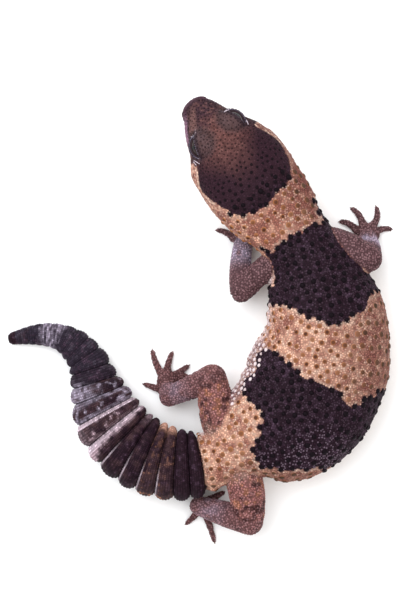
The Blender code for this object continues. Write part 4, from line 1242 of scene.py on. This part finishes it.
def unwrap(where, normals):
    """Each root's place on a flat layout of the hide, from 0 to 1: the body above, limbs and feet below."""
    turn = (where.round + 90) / 360
    body = np.column_stack([0.01 + 0.98 * where.s / LENGTH, 0.4 + 0.58 * turn])
    around = np.arctan2(normals[:, 2], normals[:, 0] + normals[:, 1]) / (2 * np.pi) + 0.5
    along = (where.limb_name + 0.03 + 0.94 * where.limb_share / ON_FOOT) / 4
    limb = np.column_stack([along, 0.21 + 0.17 * around])
    palms = np.array([in_frame(limb["palm"][0])[:2] for limb in LIMBS.values()])[where.limb_name]
    plan = np.clip((where.points[:, :2] - palms) / 24 + 0.5, 0.02, 0.98)
    sole = normals[:, 2] < 0
    foot = np.column_stack([(where.limb_name * 2 + sole + plan[:, 0]) / 8, 0.01 + 0.17 * plan[:, 1]])
    legs = np.where((where.limb_share > 2.1)[:, None], foot, limb)
    return np.where((where.limb > 0.5)[:, None], legs, body)


def lay_out(obj, where, normals, points, each):
    """Gives each scale a small patch of the bake map at its root's place."""
    centre = np.repeat(unwrap(where, normals), each, axis=0)
    away = points - np.repeat(where.points, each, axis=0)
    upright = np.repeat(normals, each, axis=0)
    first = np.cross(upright, (0.31, 0.2, 0.93))
    first /= np.linalg.norm(first, axis=1)[:, None]
    flat = np.column_stack([(away * first).sum(axis=1), (away * np.cross(upright, first)).sum(axis=1)])
    reach = np.abs(flat).max()
    corner = np.clip(centre + flat / reach * MAP_PATCH, 0, 1)
    mesh = obj.data
    layer = mesh.uv_layers.new(name="OFBake")
    index = np.empty(len(mesh.loops), np.int32)
    mesh.loops.foreach_get("vertex_index", index)
    layer.data.foreach_set("uv", corner[index].astype(np.float32).reshape(-1))


def domes(roots, normals, radii, heights, profile, sides, ahead=None, length=1.0):
    """Closed domes standing on the roots, length times longer along ahead than across it.

    Gives their points, triangles, each point's share of its dome's height, and how many points a dome has.
    """
    if ahead is None:
        ahead = random.normal(size=roots.shape)
    first = np.cross(normals, ahead)
    first /= np.linalg.norm(first, axis=1)[:, None]
    second = np.cross(normals, first)
    turns = 2 * np.pi * (np.arange(sides) + 0.5) / sides
    round_points = first[:, None] * np.cos(turns)[None, :, None]
    round_points = round_points + second[:, None] * np.sin(turns)[None, :, None] * length
    rings = []
    for reach, lift in profile:
        ring = roots[:, None] + round_points * (radii * reach)[:, None, None]
        rings.append(ring + (normals * (heights * lift)[:, None])[:, None])
    top = roots + normals * heights[:, None]
    points = np.concatenate(rings + [top[:, None]], axis=1)
    triangles = [(0, j + 1, j) for j in range(1, sides - 1)]
    for k in range(len(profile) - 1):
        for j in range(sides):
            a, b = k * sides + j, k * sides + (j + 1) % sides
            triangles += [(a, b, b + sides), (a, b + sides, a + sides)]
    last, tip = (len(profile) - 1) * sides, len(profile) * sides
    triangles += [(last + j, last + (j + 1) % sides, tip) for j in range(sides)]
    each = points.shape[1]
    triangles = np.array(triangles)[None] + (np.arange(len(roots)) * each)[:, None, None]
    lifts = np.concatenate([np.full(sides, lift) for _, lift in profile] + [[1.0]])
    return points.reshape(-1, 3), triangles.reshape(-1, 3), np.tile(lifts, len(roots)), each


def scale_piece(name, shape, where, normals, colours):
    """One piece of the scales that domes made, with a colour for each root or for each point."""
    points, triangles, _, each = shape
    if len(colours) < len(points):
        colours = np.repeat(colours, each, axis=0)
    piece = fast_mesh(name, points, triangles, colours)
    lay_out(piece, where, normals, points, each)
    return piece


roots, normals = settle(to_border(back_rows()))
where = Places(roots)
kept = (where.limb < 0.3) & (where.limb_gap > 0.8) & (beaded_flank(where) < 0.5)
kept &= (saddle_depth(where)[1] < -0.2) | (where.s > 30.5)
roots, normals = roots[kept], normals[kept]
where = Places(roots)
crest = np.exp(-((where.round - 90) / 90) ** 2)
radii = TUBERCLE_RADIUS * random.uniform(0.85, 1.12, len(roots)) * (0.8 + 0.2 * crest)
radii = radii * (1 + 0.22 * ease(80, 40, where.round))
root_dark = darkness(where)
inky = root_dark > -0.6
# The black ones at an edge scallop it, so the skin and the grain are coloured round them too.
border = tree_of(roots[inky & (np.abs(root_dark) < 1.2)])
skin_colours = hide_colours(skin_places, border)
# Painted shade darkens the skin between the grain's scales, less on the head and more on the limbs.
gap_shade = 0.6 + 0.25 * ease(34, 26, skin_places.s) * (1 - skin_places.limb) - 0.15 * skin_places.limb
set_colours(skin.data, skin_colours * gap_shade[:, None])

root_colours = hide_colours(where, border)
heights = TUBERCLE_HEIGHT * (0.8 + 0.4 * random.random(len(roots)))
shape = domes(roots, normals, radii, heights, ROUND_PROFILE, 10)
_, _, lifts, each = shape
own = np.repeat(root_colours, each, axis=0)
brown = np.repeat(random.uniform(0.45, 1.0, len(roots)), each)
olive = np.repeat(ease(95, 35, where.round), each)
colours = blend(own, OCHRE, (0.3 * brown + 0.55) * (1 - 0.65 * olive))
dark = blend(UMBER, OLIVE, olive)
top = ease(0.3 - 0.3 * olive, 0.8 - 0.2 * olive, lifts)
colours = blend(colours, dark, top * np.maximum(0.3 + 0.7 * brown, 0.9 * olive))
colours = np.where(np.repeat(inky, each)[:, None], INK, colours)
tubercles = scale_piece("tubercles", shape, where, normals, colours)
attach(tubercles, "root")
tubercle_roots, tubercle_radii = roots, radii

# On the inner flank before the thigh they are close, whitish beads.
bead_area = (beaded_flank(skin_places) > 0.5) & (skin_places.limb_gap > 0.4) & (skin_places.round < 205)
bead_area = np.flatnonzero(bead_area & (darkness(skin_places) < 0.9))
bead_area = bead_area[spread(skin_points[bead_area], np.full(len(bead_area), BEAD_SPACING))]
roots, normals = skin_points[bead_area], skin_normals[bead_area]
where = Places(roots)
radii = BEAD_RADIUS * random.uniform(0.75, 1.1, len(roots))
shape = domes(roots, normals, radii, 0.42 * radii, ROUND_PROFILE, 10)
_, _, lifts, each = shape
colours = blend(WHITE, MAUVE, 0.35 * random.random(len(roots)))
# Painted shade darkens each bead towards its foot.
colours = np.repeat(colours, each, axis=0) * (0.8 + 0.2 * lifts[:, None])
beads = scale_piece("flank_beads", shape, where, normals, colours)
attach(beads, "root")
tubercle_roots = np.vstack([tubercle_roots, roots])
tubercle_radii = np.concatenate([tubercle_radii, radii])

# On the crown they are dark dots among the paler grain, wider apart towards the nape.
crown_area = np.flatnonzero(
    (skin_places.s < 33) & (skin_places.s > 1.5) & (skin_places.round > 5) & (skin_places.round < 175)
    & (skin_places.limb_gap > 2) & (feature_distance(skin_points) > -1.2)
)
part = Places(skin_points[crown_area])
pitch = 0.82 + 0.9 * ease(17, 30, part.s)
picked = spread(skin_points[crown_area], pitch)
crown_area, pitch = crown_area[picked], pitch[picked]
roots, normals = skin_points[crown_area], skin_normals[crown_area]
where = Places(roots)
kept = darkness(where) > 0.35
roots, normals, pitch = roots[kept], normals[kept], pitch[kept]
where = Places(roots)
radii = (0.26 * pitch + 0.06) * random.uniform(0.85, 1.15, len(roots))
shape = domes(roots, normals, radii, 0.36 * radii + 0.05, ROUND_PROFILE[1:], 8)
colours = blend(hide_colours(where) * 0.6, CROWN_DOT, 0.5 + 0.45 * ease(0.9, 1.4, pitch))
crown_scales = scale_piece("crown_tubercles", shape, where, normals, colours)
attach(crown_scales, "root")
tubercle_roots = np.vstack([tubercle_roots, roots])
tubercle_radii = np.concatenate([tubercle_radii, radii])


# The grain
# The rest of the hide is a close cover of tiny, bead-like scales, finest on the snout and the lids and
# larger and flatter under the belly. They grow on the skin wherever no tubercle stands.

GRAIN_PITCH = 0.49
GRAIN_HEIGHT = 0.13
GRAIN_SIDES = 6
GRAIN_PROFILE = ((1.0, -0.4), (0.8, 0.6))
# painted glints on the saddles' grain
GRAIN_GLINT = srgb(140, 120, 136)
LEG_PALE_AND_HIGHLIGHT = srgb(170, 134, 138)
LEG_DARK = srgb(54, 34, 38)
# Where the grain's pieces meet along the body
NECK_SEAM = 36
WAIST_SEAM = 82


def grain_pitch(where):
    """The distance between the grain's scales."""
    pitch = np.full(len(where.s), GRAIN_PITCH)
    pitch -= 0.05 * ease(16, 6, where.s)
    pitch += 0.03 * where.limb * ease(2.1, 1.9, where.limb_share)
    low = where.middle - where.height
    pitch += 0.3 * ease(2.5, 4.5, low) * (1 - where.limb)
    for centre in EYE_CENTRES.values():
        pitch -= 0.04 * ease(5.4, 4.4, np.linalg.norm(where.points - centre, axis=1))
    return pitch


def socket_or_pit(points):
    """True inside the lids' openings, nostrils and ears, where no scales grow."""
    bare = np.zeros(len(points), bool)
    for side, sign in SIDES.items():
        outside, far, _ = slit_place(points, side)
        bare |= (outside < 0.28) & (far < LID_RADIUS + 1)
        bare |= np.linalg.norm(points - feature_place(NOSTRIL, sign), axis=1) < 0.62
        ear = np.linalg.norm((points - feature_place(EAR, sign)) / (1.5, 1.5, 1.6), axis=1)
        bare |= ear < 1
    return bare


def grow_grain():
    """The grain's roots, directions, pitches and distances from the nearest tubercle."""
    lip_band = (skin_places.s < MOUTH_END - 1) & (np.abs(skin_places.height - skin_places.middle) < 1.25)
    lip_band &= (skin_places.outside < 2) & (skin_places.limb_gap > 3)
    open_hide = ((skin_places.s < VENT - 0.2) | (skin_places.limb > 0.5)) & ~socket_or_pit(skin_points)
    open_hide &= ~lip_band & (skin_points[:, 2] > 0.12)
    area = np.flatnonzero(open_hide)
    pitch = grain_pitch(Places(skin_points[area]))
    picked = spread(skin_points[area], pitch)
    area, pitch = area[picked], pitch[picked]
    normals = skin_normals[area]
    slip = np.cross(normals, random.normal(size=normals.shape)) * 0.07
    roots = skin_points[area] + slip
    found = [(gap, tubercle_radii[i]) for _, i, gap in map(tree_of(tubercle_roots).find, roots)]
    gaps, radii = np.array(found).T
    clear = gaps > radii * 0.85
    return roots[clear], normals[clear], pitch[clear], gaps[clear]


grain_roots, grain_normals, grain_pitches, grain_halo = grow_grain()
grain_places = Places(grain_roots)
grain_colours = hide_colours(grain_places, border)
luck = np.clip(random.normal(0, 0.5, len(grain_roots)), -1, 1)
grain_colours = grain_colours * (1.05 + 0.26 * luck)[:, None]
pick = random.random(len(grain_roots))
on_body = (grain_places.limb < 0.5) & (grain_places.s > 14)
on_limb = grain_places.limb >= 0.5
on_tan = on_body & (darkness(grain_places) < -0.1)
on_band = on_body & ~on_tan & (grain_places.s > 36)
halo = on_tan * ease(1.5, 0.8, grain_halo) * ease(30, 60, grain_places.round)
grain_colours = blend(grain_colours, CREAM, 0.38 * halo * (pick > 0.4))
grain_colours = blend(grain_colours, MAUVE, 0.5 * (on_tan & (pick < 0.3)))
# Painted glints: part of the grain on the saddles is lightened, most of all low on the right flank of the
# loins.
glint_patch = ease(86, 60, grain_places.round) * ease(92, 98, grain_places.s) * ease(116, 108, grain_places.s)
grain_colours = blend(grain_colours, GRAIN_GLINT, (0.07 + 0.3 * glint_patch) * (on_band & (pick > 0.5)))
# Some grains on the limbs are paler, partly as painted highlight specks, and some are darker.
grain_colours = blend(grain_colours, LEG_PALE_AND_HIGHLIGHT, 0.22 * (on_limb & (pick > 0.55)))
grain_colours = blend(grain_colours, LEG_DARK, 0.42 * (on_limb & (pick < 0.25)))
before_neck = grain_places.s < NECK_SEAM
before_waist = grain_places.s < WAIST_SEAM
grain_regions = {
    "grain_head": (~on_limb & before_neck, "head_skin"),
    "grain_shoulders": (~on_limb & ~before_neck & before_waist, "body_skin"),
    "grain_loins": (~on_limb & ~before_waist, "body_skin"),
    "grain_arms": (on_limb & (grain_places.limb_name < 2), "limb_skin"),
    "grain_legs": (on_limb & (grain_places.limb_name >= 2), "limb_skin"),
}
for name, (chosen, slot) in grain_regions.items():
    roots, normals, pitch = grain_roots[chosen], grain_normals[chosen], grain_pitches[chosen]
    heights = GRAIN_HEIGHT + 0.03 * luck[chosen]
    shape = domes(roots, normals, 0.6 * pitch, heights, GRAIN_PROFILE, GRAIN_SIDES)
    grain = scale_piece(name, shape, Places(roots), normals, grain_colours[chosen])
    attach(grain, "root")


# The tail's scales
# Each fat ring carries three to eight straight rows of small oblong scales, parallel to its grooves,
# and the tip behind the last groove carries rings of them.

TAIL_ROW = 0.6
TAIL_SCALE = 0.5
TAIL_SCALE_HEIGHT = 0.12
TAIL_SEAM = RING_GROOVES[7]  # the scales are two pieces, which meet at this groove
TIP_RADIUS = 1.6
ROW_POINTS = 73


def tail_rows():
    """Each scale's s, angle and row width, row after row down the tail."""
    roots = []
    turns = np.linspace(-90, 270, ROW_POINTS)
    for start, end in zip(RING_GROOVES[:-1], RING_GROOVES[1:]):
        rows = round((end - start) / TAIL_ROW)
        for row in range(rows):
            s = start + (end - start) * (row + 0.5) / rows
            line = outline(np.full(ROW_POINTS, s), turns)
            arc = np.concatenate([[0], np.cumsum(np.linalg.norm(np.diff(line, axis=0), axis=1))])
            count = int(arc[-1] / TAIL_SCALE)
            across = (np.arange(count) + 0.5 * (row % 2)) * arc[-1] / count
            angles = np.interp(across, arc, turns)
            roots.append(np.column_stack([np.full(count, s), angles, np.full(count, (end - start) / rows)]))
    s = RING_GROOVES[-1]
    while s < LENGTH - 0.3:
        count = int(2 * math.pi * TIP_RADIUS * cap_share(np.array([s]))[0] / TAIL_SCALE) + 3
        angles = -90 + 360 * np.arange(count) / count
        roots.append(np.column_stack([np.full(count, s), angles, np.full(count, TAIL_ROW)]))
        s += TAIL_ROW
    return np.vstack(roots)


rows = tail_rows()
guess = outline(rows[:, 0], rows[:, 1], -SKIN_INSET)
ahead = outline(rows[:, 0] + 0.1, rows[:, 1], -SKIN_INSET) - guess
roots, normals = settle(guess)
lying = roots[:, 2] > 0.1
rows, roots, normals, ahead = rows[lying], roots[lying], normals[lying], ahead[lying]
where = Places(roots)
luck = random.uniform(-1, 1, len(roots))
colours = hide_colours(where) * (1 + 0.38 * luck)[:, None]
thick_end = rows[:, 0] < TAIL_SEAM
for name, chosen in (("tail_scales_base", thick_end), ("tail_scales_end", ~thick_end)):
    base, upright = roots[chosen], normals[chosen]
    radii = np.full(chosen.sum(), TAIL_SCALE / 2)
    heights = TAIL_SCALE_HEIGHT + 0.03 * luck[chosen]
    length = rows[chosen, 2].mean() / TAIL_SCALE
    shape = domes(base, upright, radii, heights, GRAIN_PROFILE, GRAIN_SIDES, ahead[chosen], length)
    tail_scales = scale_piece(name, shape, Places(base), upright, colours[chosen])
    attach(tail_scales, "root")


# The lips' plates
# A single row of small oblong plates edges each jaw, from beside the tip of the snout to just before
# the mouth's corner. They are flat, and lie end to end on the lips.

LIP_PLATE_PITCH = 1.15
LIP_ROWS = (11.0, -14.0)  # the rows' angles above and below the body's widest level
PLATE_PROFILE = ((1.0, -0.8), (0.95, 0.3), (0.7, 0.85))


def lip_row(sign, height):
    edge = np.arange(1.6, MOUTH_END - 2.5, LIP_PLATE_PITCH)
    angle = 90 - sign * (90 - height)
    return outline(edge, np.full(len(edge), angle), -SKIN_INSET)


lip_points = [lip_row(sign, height) for sign in SIDES.values() for height in LIP_ROWS]
guess = np.vstack(lip_points)
ahead = np.vstack([np.gradient(line, axis=0) for line in lip_points])
roots, normals = settle(guess)
where = Places(roots)
luck = random.uniform(-1, 1, len(roots))
colours = hide_colours(where) * (1 + 0.12 * luck)[:, None]
radii, heights = np.full(len(roots), 0.5), np.full(len(roots), 0.08)
shape = domes(roots, normals, radii, heights, PLATE_PROFILE, 8, ahead, 1.15)
lips = scale_piece("lip_plates", shape, where, normals, colours)
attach(lips, "root")


# The lids' edges
# A row of small grey beads, pale at the two corners, rims the opening of each eye. They are oblong
# scales that stand on the lids' edges.

LID_GREY = srgb(106, 98, 116)
LID_PALE = srgb(226, 216, 220)
LID_BEADS = 44
LID_BEAD_RADIUS = 0.14
LID_BEAD_HEIGHT = 0.12
BEAD_PROFILE = ((1.0, -0.8), (0.95, 0.3), (0.6, 0.85))


def slit_edge(side, turns, margin, far):
    """Points and directions round the lids' opening, margin outside it and far from the eye's centre."""
    back, look, across = lid_axes(side)
    half_height = LID_OPENINGS[side][1] + math.degrees(margin / LID_RADIUS)
    half_length = LID_HALF_LENGTH + math.degrees(margin / LID_RADIUS)
    turn = np.radians(half_length * np.cos(turns))[:, None]
    height = np.radians(half_height * np.sin(turns))[:, None]
    unit = np.cos(turn) * np.cos(height) * look + np.sin(turn) * back
    unit = unit + np.cos(turn) * np.sin(height) * across
    unit = unit / np.linalg.norm(unit, axis=1)[:, None]
    return EYE_CENTRES[side] + unit * far, unit


for side in SIDES:
    turns = 2 * np.pi * np.arange(LID_BEADS) / LID_BEADS
    roots, normals = slit_edge(side, turns, 0.12, LID_RADIUS - 0.05)
    ahead = np.roll(roots, -1, axis=0) - np.roll(roots, 1, axis=0)
    corner = np.abs(np.cos(turns)) ** 12
    colours = blend(LID_GREY, LID_PALE, corner)
    radii, heights = np.full(LID_BEADS, LID_BEAD_RADIUS), np.full(LID_BEADS, LID_BEAD_HEIGHT)
    shape = domes(roots, normals, radii, heights, BEAD_PROFILE, 8, ahead, 1.6)
    rim = scale_piece(f"lid_rim_{side}", shape, Places(roots), normals, colours)
    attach(rim, "root")


# The folds at the eyes' corners
# Thin white folds of bare skin run out from the corners of the lids. Each is a ridge of small beads
# laid on the hide under its line as seen from above.

FOLD_WHITE = srgb(206, 190, 200)
FOLD_BEADS = 18
FOLD_RADIUS = 0.12
FOLD_HEIGHT = 0.16
FOLD_LOWEST = -0.8  # how far below the eye's centre a fold may run
# Root, middle and tip of each fold, seen from above
EYE_FOLDS = {
    "left": (
        ((-3.4, 48.8), (-2.7, 49.3), (-2.1, 50.1)),
        ((-2.2, 43.7), (-1.8, 42.8), (-1.1, 42.0)),
        ((-2.1, 43.6), (-1.2, 42.9), (-0.4, 42.3)),
    ),
    "right": (((6.3, 56.2), (6.9, 56.5), (7.5, 57.0)), ((12.0, 54.3), (12.4, 53.6), (12.6, 52.9))),
}
for side, folds in EYE_FOLDS.items():
    plan = np.vstack([along_curve(fold, np.linspace(0, 1, FOLD_BEADS)) for fold in folds])
    hits = [skin_tree.ray_cast((x, y, 40.0), (0, 0, -1)) for x, y in plan]
    lowest = EYE_CENTRES[side][2] + FOLD_LOWEST
    hits = [hit for hit in hits if hit[0] is not None and hit[0][2] > lowest]
    roots, normals = np.array([hit[0] for hit in hits]), np.array([hit[1] for hit in hits])
    radii, heights = np.full(len(roots), FOLD_RADIUS), np.full(len(roots), FOLD_HEIGHT)
    shape = domes(roots, normals, radii, heights, BEAD_PROFILE, 8)
    colours = np.tile(FOLD_WHITE, (len(roots), 1))
    fold = scale_piece(f"lid_fold_{side}", shape, Places(roots), normals, colours)
    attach(fold, "root")


# The claws
# Each toe ends in a small, curved claw of brown horn. It is a tapering tube that leaves the toe's
# blunt end and bends down towards the floor.

CLAW_SHARES = (0.88, 0.985)  # where a claw starts and ends along its digit
CLAW_LEVEL = 0.42


def claws():
    """A claw at the end of every digit, all in one mesh."""
    lumps = []
    for limb in LIMBS.values():
        for points in limb["digits"]:
            path, _ = digit_path(points, np.linspace(*CLAW_SHARES, 6))
            share = np.linspace(0, 1, 6)
            path[:, 2] = CLAW_LEVEL + 0.2 * np.sin(np.pi * share) - 0.26 * share
            lumps.append(tube(path, 0.23 - 0.17 * share**1.3, 10))
    return joined(lumps)


claw_mesh = put_mesh("claws", *claws())
claw_mesh.data.polygons.foreach_set("use_smooth", np.ones(len(claw_mesh.data.polygons), bool))
horn = bpy.data.materials.new("claw horn")
horn.use_nodes = True
horn.node_tree.nodes["Principled BSDF"].inputs["Base Color"].default_value = (0.12, 0.06, 0.045, 1)
horn.node_tree.nodes["Principled BSDF"].inputs["Roughness"].default_value = 0.35
claw_mesh.data.materials.append(horn)
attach(claw_mesh, "root")


# The eyes
# Each is a glossy ball with a dark brown iris and an upright slit of a pupil, set behind the lids in
# place of the solid eyeball.

PUPIL_HALF_WIDTH = 0.13  # shares of the eyeball's radius
PUPIL_HALF_HEIGHT = 0.55


def eye(side):
    back, look, across = lid_axes(side)
    points, faces = ellipsoid(EYE_CENTRES[side], [EYE_RADIUS] * 3, (back, across, look), 64, 48)
    obj = put_mesh(f"eyeball_{side}", points, faces)
    obj.data.polygons.foreach_set("use_smooth", np.ones(len(obj.data.polygons), bool))
    unit = (points - EYE_CENTRES[side]) / EYE_RADIUS
    turn, height = unit @ back, unit @ across
    half_width = PUPIL_HALF_WIDTH * np.sqrt(np.clip(1 - (height / PUPIL_HALF_HEIGHT) ** 2, 0, 1))
    layer = obj.data.attributes.new("slit", "FLOAT", "POINT")
    layer.data.foreach_set("value", (np.abs(turn) - half_width).astype(np.float32))
    return obj


def eye_material():
    material = bpy.data.materials.new("gecko eye")
    material.use_nodes = True
    nodes, links = material.node_tree.nodes, material.node_tree.links
    shader = nodes["Principled BSDF"]
    shader.inputs["Roughness"].default_value = 0.08
    shader.inputs["Specular IOR Level"].default_value = 0.13
    slit = nodes.new("ShaderNodeAttribute")
    slit.attribute_name = "slit"
    ramp = nodes.new("ShaderNodeValToRGB")
    ramp.color_ramp.elements[0].position = 0.0
    ramp.color_ramp.elements[0].color = (0.002, 0.002, 0.002, 1)
    ramp.color_ramp.elements[1].position = 0.05
    ramp.color_ramp.elements[1].color = (0.02, 0.01, 0.008, 1)
    links.new(slit.outputs["Fac"], ramp.inputs["Fac"])
    links.new(ramp.outputs["Color"], shader.inputs["Base Color"])
    return material


EYE = eye_material()
for side in SIDES:
    ball = eye(side)
    ball.data.materials.append(EYE)
    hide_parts(f"eye_{side}")
    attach(ball, "root")


# The studio
# The gecko lies on a plain white floor and is seen from straight above. A broad cool lamp lights it
# from the upper left, and a weaker warm one from the lower right.

FLOOR_REACH = 3.0  # in metres, as the lamps' places and sizes are
LAMPS = (
    ("key", (-0.26, 0.26, 0.55), 5.2, 0.7, (0.95, 0.97, 1.0)),
    ("fill", (0.4, -0.2, 0.6), 1.6, 0.7, (1.0, 0.96, 0.92)),
)
LENS = 100
SENSOR = 36
PICTURE_CENTRE = (0.84, 4.5)
PICTURE_HEIGHT = 165.24  # of what the picture shows at the level of the gecko's middle
MIDDLE_LEVEL = 9


def studio():
    mesh = bpy.data.meshes.new("floor")
    corners = [(x * FLOOR_REACH, y * FLOOR_REACH, 0) for x, y in ((-1, -1), (1, -1), (1, 1), (-1, 1))]
    mesh.from_pydata(corners, [], [(0, 1, 2, 3)])
    floor = bpy.data.objects.new("floor", mesh)
    bpy.context.scene.collection.objects.link(floor)
    paper = bpy.data.materials.new("white paper")
    paper.use_nodes = True
    paper.node_tree.nodes["Principled BSDF"].inputs["Base Color"].default_value = (0.98, 0.98, 0.98, 1)
    paper.node_tree.nodes["Principled BSDF"].inputs["Roughness"].default_value = 0.9
    floor.data.materials.append(paper)
    world = bpy.data.worlds.new("studio")
    world.use_nodes = True
    world.node_tree.nodes["Background"].inputs["Color"].default_value = (1, 1, 1, 1)
    world.node_tree.nodes["Background"].inputs["Strength"].default_value = 0.8
    bpy.context.scene.world = world
    bpy.context.scene.view_settings.view_transform = "Standard"
    for name, stand, power, size, colour in LAMPS:
        lamp = bpy.data.lights.new(name, "AREA")
        lamp.energy = power
        lamp.size = size
        lamp.color = colour
        obj = bpy.data.objects.new(name, lamp)
        obj.location = stand
        obj.rotation_euler = (-Vector(stand)).to_track_quat("-Z", "Y").to_euler()
        bpy.context.scene.collection.objects.link(obj)


def camera():
    lens = bpy.data.cameras.new("camera")
    lens.sensor_fit = "AUTO"
    lens.sensor_width = SENSOR
    lens.lens = LENS
    obj = bpy.data.objects.new("camera", lens)
    height = MIDDLE_LEVEL + PICTURE_HEIGHT * LENS / SENSOR
    obj.location = (PICTURE_CENTRE[0] * MM, PICTURE_CENTRE[1] * MM, height * MM)
    bpy.context.scene.collection.objects.link(obj)
    bpy.context.scene.camera = obj


studio()
camera()
